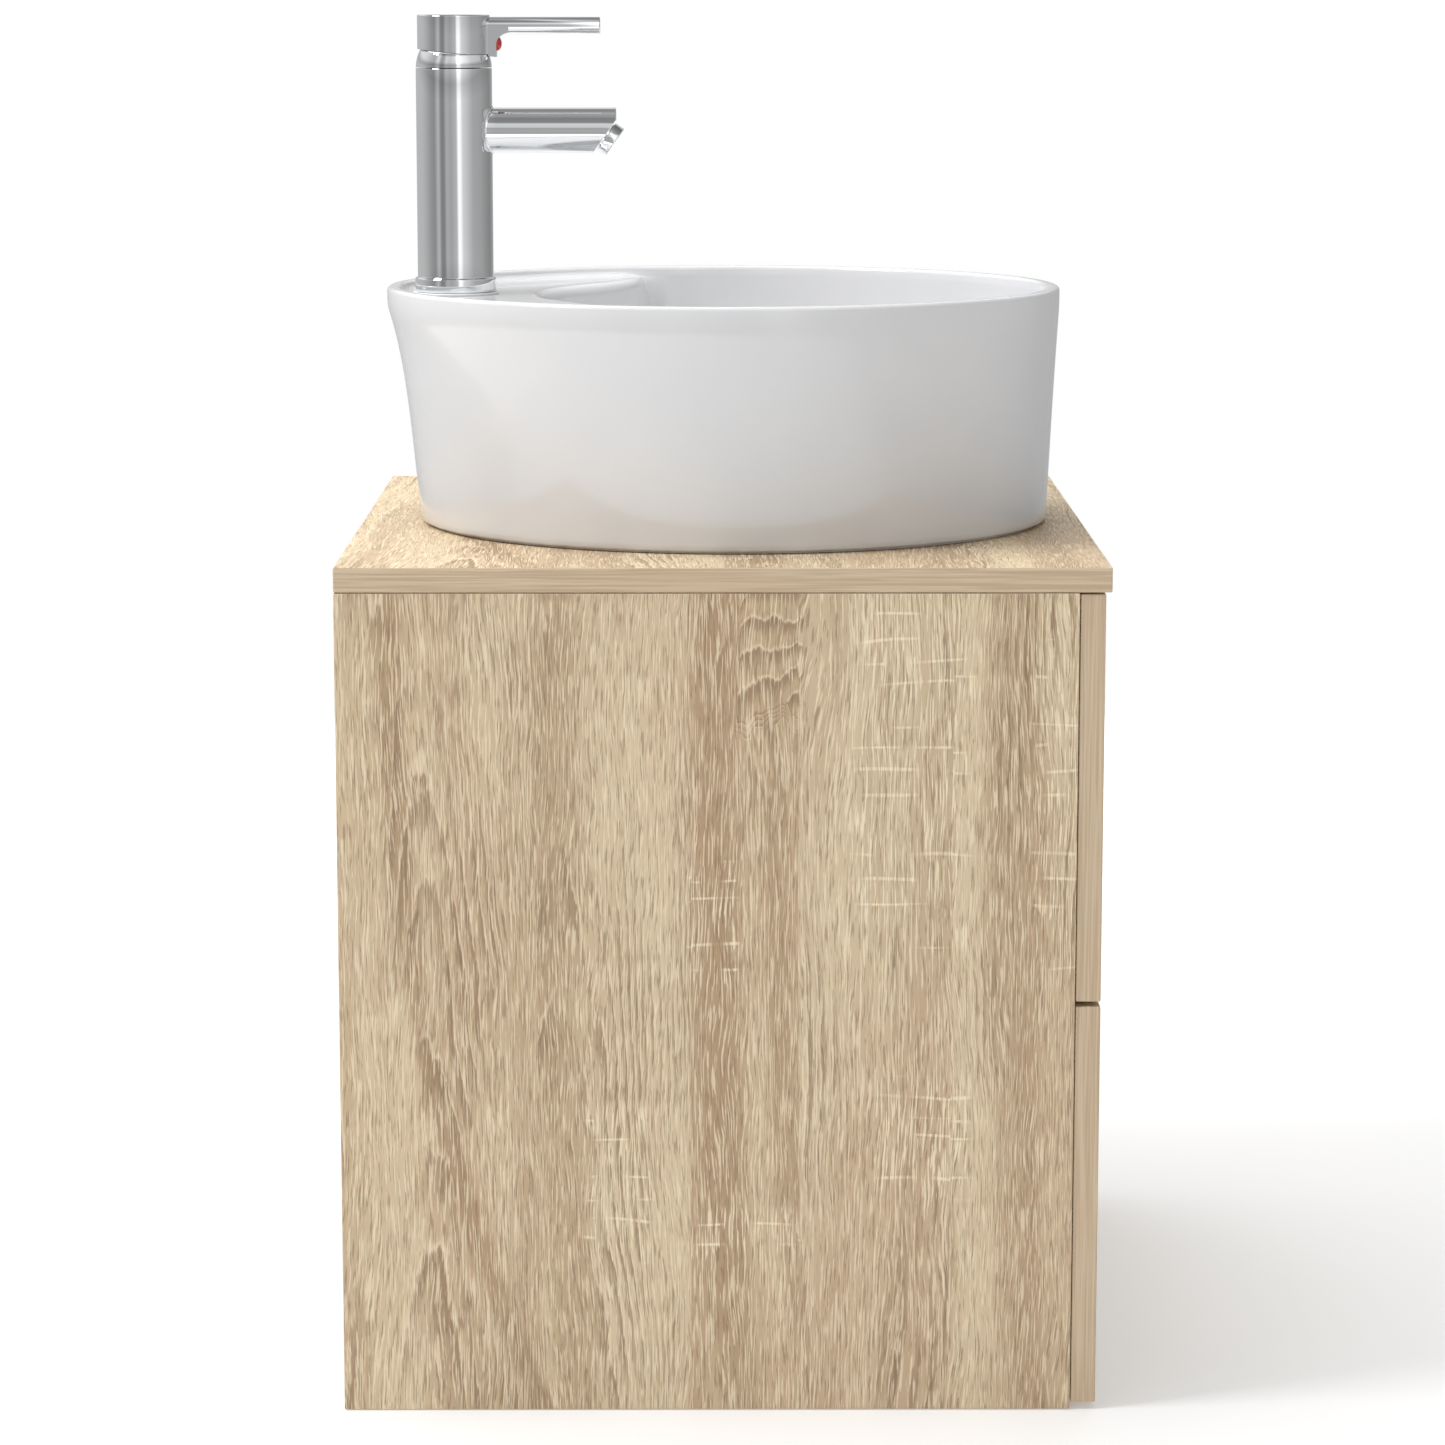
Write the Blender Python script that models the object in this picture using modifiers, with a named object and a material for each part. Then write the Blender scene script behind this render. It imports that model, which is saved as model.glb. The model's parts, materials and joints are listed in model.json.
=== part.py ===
"""A round vessel basin with a single-lever mixer, on a wall-hung vanity with two drawers.

Metres, +Z up. The origin is the centre of the cabinet's base. The wall is at +Y, the drawers open towards -Y,
and left and right are those of a person who faces the drawers.
"""

import math

import bmesh
import bpy
from mathutils import Vector

# Clearances
TOUCH = 0.0003  # between two pieces that meet
SLIDE = 0.0015  # between nested runner members, where the balls run

# Cabinet
CABINET_WIDTH = 0.500
CABINET_DEPTH = 0.460
CABINET_HEIGHT = 0.516
BOARD = 0.015
EDGE_ROUND = 0.0008
WORKTOP_OVERHANG = 0.0035
RAIL_HEIGHT = 0.080
STRETCHER_DEPTH = 0.060
STRETCHER_SETBACK = 0.040
HOSE_HOLE_R = 0.0225
HOSE_HOLE_AHEAD = 0.012  # of the mixer, clear of the basin's back wall

# Drawer fronts
FRONT_BOARD = 0.015
FRONT_REVEAL = 0.001
FRONT_SEAM = 0.0005
FRONT_RAISE = 0.004
FRONT_GAP = 0.003
FRONT_TOP_GAP = 0.001
GRIP_WIDTH = 0.110
GRIP_DEPTH = 0.022

# Drawer boxes
DRAWER_BOARD = 0.012
DRAWER_FLOOR = 0.004
DRAWER_LIFT = 0.020  # the sides' lower edge above the front's
DRAWER_HEADROOM = 0.060  # the front's upper edge above the sides'
FLOOR_INSET = 0.010  # the floor's underside above the sides' lower edge
GROOVE = 0.005
SERVICE_DEPTH = 0.110  # kept free for pipes and for the drawer fronts
GUARD_WALL = 0.004
GUARD_ROOM = 0.026  # between the trap and the guard around it

# Runners
RUNNER_SPACE = 0.013
RUNNER_HEIGHT = 0.045
RUNNER_SHEET = 0.0012
RUNNER_LIFT = 0.040  # the runner's centre line above the sides' lower edge

# Hanging brackets
BRACKET_HEIGHT = 0.060
BRACKET_LEG = 0.040
BRACKET_SHEET = 0.002
KEYHOLE_R = 0.006
KEYHOLE_SLOT_R = 0.003
KEYHOLE_RISE = 0.016

# Basin
BASIN_HEIGHT = 0.150
BASIN_LENGTH = 0.429  # along Y at the rim
BASIN_WIDTH = 0.412
BASIN_Y = -0.001
FOOT_LENGTH = 0.402
FOOT_WIDTH = 0.383
FOOT_Y = -0.0077
BASIN_WALL = 0.009
RIM_ROUND = 0.003
DECK_DROP = 0.006
DECK_LENGTH = 0.107  # from the back of the rim to the deck's edge over the bowl
DECK_THICKNESS = 0.012
BOWL_FLOOR = 0.022  # the bowl's lowest point above the foot
FLOOR_THICKNESS = 0.012
WASTE_INSET = 0.1655  # from the front of the rim to the waste
TAP_INSET = 0.0435  # from the back of the rim to the mixer

# Waste and bottle trap
WASTE_R = 0.0215
WASTE_FLANGE_R = 0.0315
WASTE_FLANGE = 0.0025
WASTE_LENGTH = 0.080
TAIL_R = 0.016
TAIL_LENGTH = 0.035
PIPE_WALL = 0.0018
CAP_R = 0.030
CAP_TRAVEL = 0.008
CAP_STEM_R = 0.004
TRAP_R = 0.034
TRAP_WALL = 0.0028
TRAP_HEAD = 0.055
TRAP_CUP = 0.060
OUTLET_DROP = 0.025  # the outlet's axis below the top of the trap

# Mixer
FLANGE_R = 0.0258
FLANGE_TOP = 0.011  # above the deck
COLUMN_R = 0.02415
COLUMN_HEIGHT = 0.143  # above the deck
TAP_HOLE_R = 0.0175
GASKET = 0.0015
CARTRIDGE_R = 0.0175
CARTRIDGE_DEPTH = 0.035
SPOUT_R = 0.0142
SPOUT_DROP = 0.0391  # the spout's axis below the top of the column
SPOUT_REACH = 0.1028  # from the column's axis to the spout's blunt end
OUTLET_TILT = math.radians(35.5)
AERATOR_R = 0.01025
AERATOR_OUT = 0.0075
WATERWAY_R = 0.008
BONNET_R = 0.0241
BONNET_HEIGHT = 0.017
BONNET_WALL = 0.002
HUB_R = 0.023
HUB_TOP = 0.0334  # above the top of the column
LEVER_R = 0.00535
LEVER_RISE = 0.0267
LEVER_REACH = 0.0929
NOSE_REACH = 0.0273
NOSE_WIDTH = 0.016
BUTTON_R = 0.0047
BUTTON_RISE = 0.0154
STEM_HALF = Vector((0.0045, 0.0040))

# Places that follow from the sizes above
FRONT_Y = -CABINET_DEPTH / 2
BACK_Y = CABINET_DEPTH / 2
FRONTS_Y = FRONT_Y + WORKTOP_OVERHANG
BOX_Y = FRONTS_Y + FRONT_BOARD + FRONT_SEAM
SIDE_X = CABINET_WIDTH / 2
INNER_X = SIDE_X - BOARD
UNDER_TOP = CABINET_HEIGHT - BOARD
RUNNER_LENGTH = CABINET_DEPTH - SERVICE_DEPTH
FRONT_HEIGHT = (UNDER_TOP - FRONT_RAISE - FRONT_GAP - FRONT_TOP_GAP) / 2
DRAWER_X = INNER_X - RUNNER_SPACE

FOOT_Z = CABINET_HEIGHT + TOUCH
RIM_Z = CABINET_HEIGHT + BASIN_HEIGHT
DECK_Z = RIM_Z - DECK_DROP
DECK_Y = BASIN_Y + BASIN_LENGTH / 2 - DECK_LENGTH
WASTE_Y = BASIN_Y - BASIN_LENGTH / 2 + WASTE_INSET
TAP_Y = BASIN_Y + BASIN_LENGTH / 2 - TAP_INSET

WASTE_TOP = FOOT_Z + BOWL_FLOOR + 0.0005
CERAMIC_UNDER = FOOT_Z + BOWL_FLOOR - FLOOR_THICKNESS
TAIL_END = WASTE_TOP - WASTE_LENGTH - TAIL_LENGTH
TRAP_TOP = TAIL_END - 0.018
OUTLET_Z = TRAP_TOP - OUTLET_DROP
GUARD_X = TRAP_R + GUARD_ROOM

COLUMN_TOP = DECK_Z + COLUMN_HEIGHT
PIVOT = Vector((0, TAP_Y, COLUMN_TOP))
SPOUT_Z = COLUMN_TOP - SPOUT_DROP

LEFT_RIGHT = (("left", -1), ("right", 1))


def new_collection(name):
    group = bpy.data.collections.new(name)
    bpy.context.scene.collection.children.link(group)
    return group


def new_material(name, color, roughness, metallic=0.0):
    material = bpy.data.materials.new(name)
    material.use_nodes = True
    shader = material.node_tree.nodes["Principled BSDF"]
    shader.inputs["Base Color"].default_value = (*color, 1.0)
    shader.inputs["Roughness"].default_value = roughness
    shader.inputs["Metallic"].default_value = metallic
    return material


for old in list(bpy.data.objects):
    bpy.data.objects.remove(old)

PARTS = new_collection("vessel_sink_on_vanity")
CUTTERS = new_collection("cutters")

OAK = new_material("oak_decor", (0.54, 0.42, 0.28), 0.5)
CARCASS = new_material("drawer_board", (0.80, 0.78, 0.74), 0.5)
CERAMIC = new_material("glazed_ceramic", (0.85, 0.85, 0.85), 0.1)
CHROME = new_material("chrome", (0.8, 0.8, 0.8), 0.08, 1.0)
STEEL = new_material("zinc_plated_steel", (0.6, 0.6, 0.6), 0.35, 1.0)
BRASS = new_material("brass", (0.7, 0.5, 0.25), 0.3, 1.0)
PLASTIC = new_material("white_plastic", (0.8, 0.8, 0.8), 0.4)
RUBBER = new_material("rubber", (0.05, 0.05, 0.05), 0.7)
SEAL = new_material("clear_seal", (0.75, 0.75, 0.75), 0.4)
INDEX = new_material("index_plastic", (0.7, 0.02, 0.02), 0.3)


# Tools


def new_object(name, mesh, material, smooth=False):
    """A piece, or a cutter where material is None."""
    obj = bpy.data.objects.new(name, mesh)
    if material is None:
        CUTTERS.objects.link(obj)
        obj.hide_render = True
        obj.display_type = "WIRE"
        return obj
    PARTS.objects.link(obj)
    mesh.materials.append(material)
    if smooth:
        mesh.shade_smooth()
        mesh.set_sharp_from_angle(angle=math.radians(40))
    return obj


def finished(shape, name):
    mesh = bpy.data.meshes.new(name)
    bmesh.ops.recalc_face_normals(shape, faces=shape.faces)
    shape.to_mesh(mesh)
    shape.free()
    return mesh


def box(name, low, high, material=None, edge_round=0.0):
    low = Vector(low)
    high = Vector(high)
    shape = bmesh.new()
    bmesh.ops.create_cube(shape, size=1.0)
    bmesh.ops.scale(shape, vec=high - low, verts=shape.verts)
    obj = new_object(name, finished(shape, name), material)
    obj.location = (low + high) / 2
    if edge_round:
        bevel = obj.modifiers.new("edges", "BEVEL")
        bevel.width = edge_round
        bevel.segments = 2
    return obj


def rod(name, start, end, radius, material=None, segments=24):
    """A round or many-sided bar from start to end."""
    start = Vector(start)
    end = Vector(end)
    shape = bmesh.new()
    bmesh.ops.create_cone(
        shape,
        cap_ends=True,
        segments=segments,
        radius1=radius,
        radius2=radius,
        depth=(end - start).length,
    )
    obj = new_object(name, finished(shape, name), material, smooth=segments > 8)
    obj.location = (start + end) / 2
    obj.rotation_mode = "QUATERNION"
    obj.rotation_quaternion = (end - start).to_track_quat("Z", "Y")
    return obj


def ball(name, centre, radius, material=None):
    shape = bmesh.new()
    bmesh.ops.create_uvsphere(shape, u_segments=28, v_segments=14, radius=radius)
    obj = new_object(name, finished(shape, name), material, smooth=True)
    obj.location = centre
    return obj


def turned(name, place, profile, material=None, direction=(0, 0, 1), segments=24):
    """A profile of (radius, height) points, down its outer side and up its inner side, turned about an axis."""
    mesh = bpy.data.meshes.new(name)
    points = [(radius, 0, height) for radius, height in profile]
    open_at_axis = profile[0][0] == 0 and profile[-1][0] == 0
    edges = [(i, i + 1) for i in range(len(points) - 1)]
    if not open_at_axis:
        edges.append((len(points) - 1, 0))
    mesh.from_pydata(points, edges, [])
    obj = new_object(name, mesh, material)
    obj.location = place
    obj.rotation_mode = "QUATERNION"
    obj.rotation_quaternion = Vector(direction).to_track_quat("Z", "Y")
    screw = obj.modifiers.new("turn", "SCREW")
    screw.steps = segments
    screw.render_steps = segments
    screw.use_merge_vertices = True
    screw.merge_threshold = 0.00001
    return obj


def plate(name, outline, place, thickness, material=None, facing="Z"):
    """A flat outline given a thickness, centred on place. Facing Y stands it up, so that its outline is in XZ."""
    curve = bpy.data.curves.new(name, "CURVE")
    curve.dimensions = "2D"
    curve.fill_mode = "BOTH"
    curve.extrude = thickness / 2
    spline = curve.splines.new("POLY")
    spline.points.add(len(outline) - 1)
    for point, (u, v) in zip(spline.points, outline):
        point.co = (u, v, 0, 1)
    spline.use_cyclic_u = True
    guide = bpy.data.objects.new(name + "_outline", curve)
    CUTTERS.objects.link(guide)
    guide.location = place
    if facing == "Y":
        guide.rotation_euler = (math.pi / 2, 0, 0)
    bpy.context.view_layer.update()
    graph = bpy.context.evaluated_depsgraph_get()
    mesh = bpy.data.meshes.new_from_object(guide.evaluated_get(graph))
    mesh.name = name
    shape = bmesh.new()
    shape.from_mesh(mesh)
    bmesh.ops.remove_doubles(shape, verts=shape.verts, dist=0.000001)
    bmesh.ops.recalc_face_normals(shape, faces=shape.faces)
    shape.to_mesh(mesh)
    shape.free()
    mesh.materials.clear()
    obj = new_object(name, mesh, material)
    obj.matrix_world = guide.matrix_world.copy()
    bpy.data.objects.remove(guide)
    return obj


def combine(obj, others, operation):
    for other in others:
        boolean = obj.modifiers.new(other.name, "BOOLEAN")
        boolean.operation = operation
        boolean.object = other
        boolean.solver = "EXACT"


def cut(obj, *cutters):
    combine(obj, cutters, "DIFFERENCE")


def join(obj, *others):
    combine(obj, others, "UNION")


def across(sign, near, far):
    """The X range from near to far on one side of the middle."""
    return sorted((sign * near, sign * far))


def arc(centre, radius, first, last, steps):
    """Points of an arc, with its angles in degrees."""
    turn = [math.radians(first + (last - first) * i / steps) for i in range(steps + 1)]
    return [(centre[0] + radius * math.cos(a), centre[1] + radius * math.sin(a)) for a in turn]


def ride(pieces, place, name):
    """Parents pieces to an empty on their joint's axis."""
    empty = bpy.data.objects.new(name, None)
    PARTS.objects.link(empty)
    empty.location = place
    bpy.context.view_layer.update()
    for piece in pieces:
        piece.parent = empty
        piece.matrix_parent_inverse = empty.matrix_world.inverted()
    return empty


# Cabinet


def worktop():
    top = box(
        "worktop", (-SIDE_X, FRONT_Y, UNDER_TOP), (SIDE_X, BACK_Y, CABINET_HEIGHT), OAK, EDGE_ROUND
    )
    waste_hole = WASTE_FLANGE_R + 0.003
    hose_y = TAP_Y - HOSE_HOLE_AHEAD
    below = UNDER_TOP - 0.01
    above = CABINET_HEIGHT + 0.01
    cut(
        top,
        rod("worktop_waste_hole", (0, WASTE_Y, below), (0, WASTE_Y, above), waste_hole),
        rod("worktop_hose_hole", (0, hose_y, below), (0, hose_y, above), HOSE_HOLE_R),
    )


def carcass():
    top = UNDER_TOP - TOUCH
    rail_front = BACK_Y - BOARD
    inner = INNER_X - TOUCH
    for side, sign in LEFT_RIGHT:
        x = across(sign, INNER_X, SIDE_X)
        box("side_panel_" + side, (x[0], BOX_Y, 0), (x[1], BACK_Y, top), OAK, EDGE_ROUND)
    box("bottom_panel", (-inner, BOX_Y, 0), (inner, BACK_Y, BOARD), OAK)
    box("back_rail", (-inner, rail_front, top - RAIL_HEIGHT), (inner, BACK_Y, top), OAK)
    stretcher_y = BOX_Y + STRETCHER_SETBACK
    box(
        "front_stretcher",
        (-inner, stretcher_y, top - BOARD),
        (inner, stretcher_y + STRETCHER_DEPTH, top),
        OAK,
    )


def hanging_brackets():
    top = UNDER_TOP - TOUCH - RAIL_HEIGHT - 0.005
    low = top - BRACKET_HEIGHT
    outer = INNER_X - TOUCH
    for side, sign in LEFT_RIGHT:
        x = across(sign, outer - BRACKET_LEG, outer)
        bracket = box(
            "hanging_bracket_" + side, (x[0], BACK_Y - BRACKET_SHEET, low), (x[1], BACK_Y, top), STEEL
        )
        x = across(sign, outer - BRACKET_SHEET, outer)
        leg = box("bracket_leg_" + side, (x[0], BACK_Y - BRACKET_LEG, low), (x[1], BACK_Y, top))
        key_x = sign * (outer - BRACKET_LEG / 2)
        key_z = low + BRACKET_HEIGHT / 3
        slot_z = key_z + KEYHOLE_RISE
        back = BACK_Y + 0.005
        ahead = BACK_Y - 0.008
        slot = box(
            "keyhole_neck_" + side,
            (key_x - KEYHOLE_SLOT_R, ahead, key_z),
            (key_x + KEYHOLE_SLOT_R, back, slot_z),
        )
        join(bracket, leg)
        cut(
            bracket,
            rod("keyhole_" + side, (key_x, ahead, key_z), (key_x, back, key_z), KEYHOLE_R),
            slot,
            rod(
                "keyhole_end_" + side,
                (key_x, ahead, slot_z),
                (key_x, back, slot_z),
                KEYHOLE_SLOT_R - 0.00005,
            ),
        )


# Drawers


def channel(name, sign, web, tip, height, y, z):
    """A C-shaped runner member along Y. web and tip are X distances from the side panel's inner face."""
    half = height / 2
    sheet = RUNNER_SHEET
    step = math.copysign(sheet, tip - web)
    outline = [
        (tip, half),
        (web, half),
        (web, -half),
        (tip, -half),
        (tip, -half + sheet),
        (web + step, -half + sheet),
        (web + step, half - sheet),
        (tip, half - sheet),
    ]
    outline = [(sign * (INNER_X - distance), height) for distance, height in outline]
    return plate(name, outline, (0, y + RUNNER_LENGTH / 2, z), RUNNER_LENGTH, STEEL, facing="Y")


def runner_pair(drawer, sides_low, y):
    """The cabinet, middle and drawer members of both runners, each nested in the one before."""
    z = sides_low + RUNNER_LIFT
    step = RUNNER_SHEET + SLIDE
    middle_height = RUNNER_HEIGHT - 2 * step
    drawer_height = middle_height - 2 * step
    drawer_web = RUNNER_SPACE - TOUCH
    middle = []
    moving = []
    for side, sign in LEFT_RIGHT:
        channel(f"{drawer}_runner_cabinet_{side}", sign, TOUCH, 0.0095, RUNNER_HEIGHT, y, z)
        middle.append(
            channel(f"{drawer}_runner_middle_{side}", sign, 0.0035, 0.0100, middle_height, y, z)
        )
        moving.append(
            channel(f"{drawer}_runner_drawer_{side}", sign, drawer_web, 0.0060, drawer_height, y, z)
        )
    return middle, moving


def drawer_front(name, low):
    x = SIDE_X - FRONT_REVEAL
    high = low + FRONT_HEIGHT
    front = box(name, (-x, FRONTS_Y, low), (x, FRONTS_Y + FRONT_BOARD, high), OAK, EDGE_ROUND)
    ahead = FRONTS_Y - 0.01
    behind = FRONTS_Y + FRONT_BOARD + 0.01
    half = GRIP_WIDTH / 2
    corner = GRIP_DEPTH * 0.7
    outline = arc((-half + corner, -GRIP_DEPTH + corner), corner, 180, 270, 6)
    outline += arc((half - corner, -GRIP_DEPTH + corner), corner, 270, 360, 6)
    outline += [(half, 0.01), (-half, 0.01)]
    grip = plate(name + "_grip", outline, (0, (ahead + behind) / 2, high), behind - ahead, facing="Y")
    cut(front, grip)
    return front


def drawer_side(name, sign, low, high, y):
    x = across(sign, DRAWER_X - DRAWER_BOARD, DRAWER_X)
    side = box(name, (x[0], y, low), (x[1], y + RUNNER_LENGTH, high), CARCASS)
    groove_low = low + FLOOR_INSET - TOUCH
    x = across(sign, DRAWER_X - DRAWER_BOARD - 0.005, DRAWER_X - DRAWER_BOARD + GROOVE)
    groove = box(
        name + "_groove",
        (x[0], y - 0.01, groove_low),
        (x[1], y + RUNNER_LENGTH + 0.01, groove_low + DRAWER_FLOOR + 2 * TOUCH),
    )
    cut(side, groove)
    return side


def drawer_floor(name, low, y, notched):
    half = DRAWER_X - DRAWER_BOARD + GROOVE - TOUCH
    floor_low = low + FLOOR_INSET
    back = y + RUNNER_LENGTH
    outline = [(-half, y), (half, y), (half, back)]
    if notched:
        outline += [(GUARD_X, back)] + arc((0, WASTE_Y), GUARD_X, 0, -180, 16) + [(-GUARD_X, back)]
    outline += [(-half, back)]
    return plate(name, outline, (0, 0, floor_low + DRAWER_FLOOR / 2), DRAWER_FLOOR, CARCASS)


def siphon_guard(low, high, y):
    """The U-shaped wall that keeps a drawer's contents away from the trap."""
    back = y + RUNNER_LENGTH
    outer = GUARD_X + GUARD_WALL
    outline = [(outer, back)] + arc((0, WASTE_Y), outer, 0, -180, 20) + [(-outer, back)]
    outline += [(-GUARD_X, back)] + arc((0, WASTE_Y), GUARD_X, -180, 0, 20) + [(GUARD_X, back)]
    return plate("siphon_guard", outline, (0, 0, (low + high) / 2), high - low, PLASTIC)


def drawer(name, front_low, notched):
    low = front_low + DRAWER_LIFT
    high = front_low + FRONT_HEIGHT - DRAWER_HEADROOM
    y = FRONTS_Y + FRONT_BOARD + TOUCH
    back = y + RUNNER_LENGTH
    inside = DRAWER_X - DRAWER_BOARD - TOUCH
    above_floor = low + FLOOR_INSET + DRAWER_FLOOR + TOUCH
    pieces = [drawer_front(name + "_front", front_low), drawer_floor(name + "_bottom", low, y, notched)]
    for side, sign in LEFT_RIGHT:
        pieces.append(drawer_side(f"{name}_side_{side}", sign, low, high, y))
    if notched:
        pieces.append(siphon_guard(above_floor, high, y))
        for side, sign in LEFT_RIGHT:
            x = across(sign, GUARD_X + GUARD_WALL + TOUCH, inside)
            pieces.append(
                box(
                    f"{name}_back_{side}",
                    (x[0], back - DRAWER_BOARD, above_floor),
                    (x[1], back, high),
                    CARCASS,
                )
            )
    else:
        pieces.append(
            box(
                name + "_back",
                (-inside, back - DRAWER_BOARD, above_floor),
                (inside, back, high),
                CARCASS,
            )
        )
    middle, moving = runner_pair(name, low, y)
    ride(pieces + moving, (0, FRONTS_Y, front_low), name + "_slide")
    ride(middle, (0, FRONTS_Y, front_low), name + "_middle_slide")


# Basin


def oval(width, length, centre_y, z, segments=56):
    turn = [2 * math.pi * i / segments for i in range(segments)]
    return [(width / 2 * math.cos(a), centre_y + length / 2 * math.sin(a), z) for a in turn]


def loft(name, rings, material=None):
    """A closed solid through rings that have the same number of points."""
    shape = bmesh.new()
    loops = [[shape.verts.new(point) for point in ring] for ring in rings]
    for lower, upper in zip(loops, loops[1:]):
        for i in range(len(lower)):
            j = (i + 1) % len(lower)
            shape.faces.new((lower[i], lower[j], upper[j], upper[i]))
    shape.faces.new(loops[0])
    shape.faces.new(loops[-1])
    return new_object(name, finished(shape, name), material, smooth=True)


def wall_size(z, inset):
    """Width, length and middle Y of the basin's outer wall at height z, less an inset."""
    share = (z - FOOT_Z) / (RIM_Z - FOOT_Z)
    width = FOOT_WIDTH + (BASIN_WIDTH - FOOT_WIDTH) * share
    length = FOOT_LENGTH + (BASIN_LENGTH - FOOT_LENGTH) * share
    return width - 2 * inset, length - 2 * inset, FOOT_Y + (BASIN_Y - FOOT_Y) * share


def wall_ring(z, inset=0.0):
    return oval(*wall_size(z, inset), z)


def wall_ring_behind(limit_y, z, inset, segments=24):
    """The part of the ring behind limit_y, closed by a straight front."""
    width, length, centre_y = wall_size(z, inset)
    first = math.asin((limit_y - centre_y) / (length / 2))
    turn = [first + (math.pi - 2 * first) * i / segments for i in range(segments + 1)]
    return [(width / 2 * math.cos(a), centre_y + length / 2 * math.sin(a), z) for a in turn]


def bowl_cutter():
    """The bowl: steep walls that turn in to a shallow floor around the waste, and end at the deck."""
    floor_z = FOOT_Z + BOWL_FLOOR
    depth = DECK_Z - floor_z
    rings = [oval(0.06, 0.06, WASTE_Y, floor_z)]
    steps = 6
    for i in range(1, steps + 1):
        angle = math.pi / 2 * i / steps
        z = floor_z + depth * 0.45 * (1 - math.cos(angle))
        share = math.sin(angle)
        edge = wall_ring(z, BASIN_WALL + 0.006)
        rings.append([(x * share, WASTE_Y + (y - WASTE_Y) * share, z) for x, y, _ in edge])
    rings.append(wall_ring(DECK_Z, BASIN_WALL))
    rings.append(wall_ring(RIM_Z + 0.01, BASIN_WALL))
    slope = 0.12
    limited = [[(x, min(y, DECK_Y + slope * (z - DECK_Z)), z) for x, y, z in ring] for ring in rings]
    return loft("basin_bowl", limited)


def basin():
    rings = [wall_ring(FOOT_Z)]
    rings.append(wall_ring(RIM_Z - RIM_ROUND))
    rings.append(wall_ring(RIM_Z, RIM_ROUND))
    body = loft("basin", rings, CERAMIC)
    deck = loft(
        "basin_deck_recess", [wall_ring(DECK_Z, BASIN_WALL), wall_ring(RIM_Z + 0.01, BASIN_WALL)]
    )
    cavity_top = DECK_Z - DECK_THICKNESS
    limit = DECK_Y + DECK_THICKNESS
    heights = (FOOT_Z - 0.01, cavity_top)
    under_deck = [wall_ring_behind(limit, z, BASIN_WALL + 0.001) for z in heights]
    under_floor = [wall_ring(z, BASIN_WALL + 0.004) for z in (FOOT_Z - 0.011, CERAMIC_UNDER)]
    cut(
        body,
        deck,
        bowl_cutter(),
        loft("basin_under_deck", under_deck),
        loft("basin_under_floor", under_floor),
        rod(
            "basin_waste_hole",
            (0, WASTE_Y, FOOT_Z - 0.01),
            (0, WASTE_Y, RIM_Z),
            WASTE_R + 0.001,
        ),
        rod(
            "basin_waste_seat",
            (0, WASTE_Y, WASTE_TOP - WASTE_FLANGE - TOUCH),
            (0, WASTE_Y, RIM_Z),
            WASTE_FLANGE_R + 0.001,
        ),
        rod("basin_tap_hole", (0, TAP_Y, FOOT_Z + 0.05), (0, TAP_Y, RIM_Z + 0.01), TAP_HOLE_R),
    )


# Waste and trap


def waste():
    place = (0, WASTE_Y, WASTE_TOP)
    bore = WASTE_R - 0.0025
    tail_bore = TAIL_R - 0.0025
    profile = [
        (WASTE_FLANGE_R, 0),
        (WASTE_FLANGE_R, -WASTE_FLANGE),
        (WASTE_R, -WASTE_FLANGE),
        (WASTE_R, -WASTE_LENGTH),
        (TAIL_R, -WASTE_LENGTH - 0.005),
        (TAIL_R, -WASTE_LENGTH - TAIL_LENGTH),
        (tail_bore, -WASTE_LENGTH - TAIL_LENGTH),
        (tail_bore, -WASTE_LENGTH - 0.003),
        (bore, -WASTE_LENGTH + 0.003),
        (bore, -0.006),
        (bore + 0.004, 0),
    ]
    body = turned("waste_body", place, profile, CHROME)
    guide_z = WASTE_TOP - 0.030
    hub = rod(
        "waste_guide_hub", (0, WASTE_Y, guide_z - 0.005), (0, WASTE_Y, guide_z + 0.005), 0.007
    )
    reach = bore + 0.001
    bar = box(
        "waste_guide_bar",
        (-reach, WASTE_Y - 0.002, guide_z - 0.003),
        (reach, WASTE_Y + 0.002, guide_z + 0.003),
    )
    stem_hole = rod(
        "waste_guide_hole",
        (0, WASTE_Y, guide_z - 0.02),
        (0, WASTE_Y, guide_z + 0.02),
        CAP_STEM_R + TOUCH,
    )
    join(body, hub, bar)
    cut(body, stem_hole)
    under = CERAMIC_UNDER - WASTE_TOP - TOUCH
    inner = WASTE_R + TOUCH
    gasket_low = under - 0.003
    gasket = [(0.030, under), (0.030, gasket_low), (inner, gasket_low), (inner, under)]
    turned("waste_gasket", place, gasket, RUBBER)
    nut_top = gasket_low - TOUCH
    nut_low = nut_top - 0.012
    nut = [(0.029, nut_top), (0.029, nut_low), (inner, nut_low), (inner, nut_top)]
    turned("waste_lock_nut", place, nut, BRASS)


def waste_cap():
    under = CAP_TRAVEL + TOUCH
    profile = [
        (0, under + 0.0045),
        (CAP_R * 0.5, under + 0.0041),
        (CAP_R * 0.9, under + 0.0026),
        (CAP_R, under + 0.0012),
        (CAP_R, under),
        (CAP_STEM_R, under),
        (CAP_STEM_R, -0.050),
        (0, -0.050),
    ]
    cap = turned("waste_cap", (0, WASTE_Y, WASTE_TOP), profile, CHROME)
    ride([cap], (0, WASTE_Y, WASTE_TOP), "waste_cap_slide")


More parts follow.
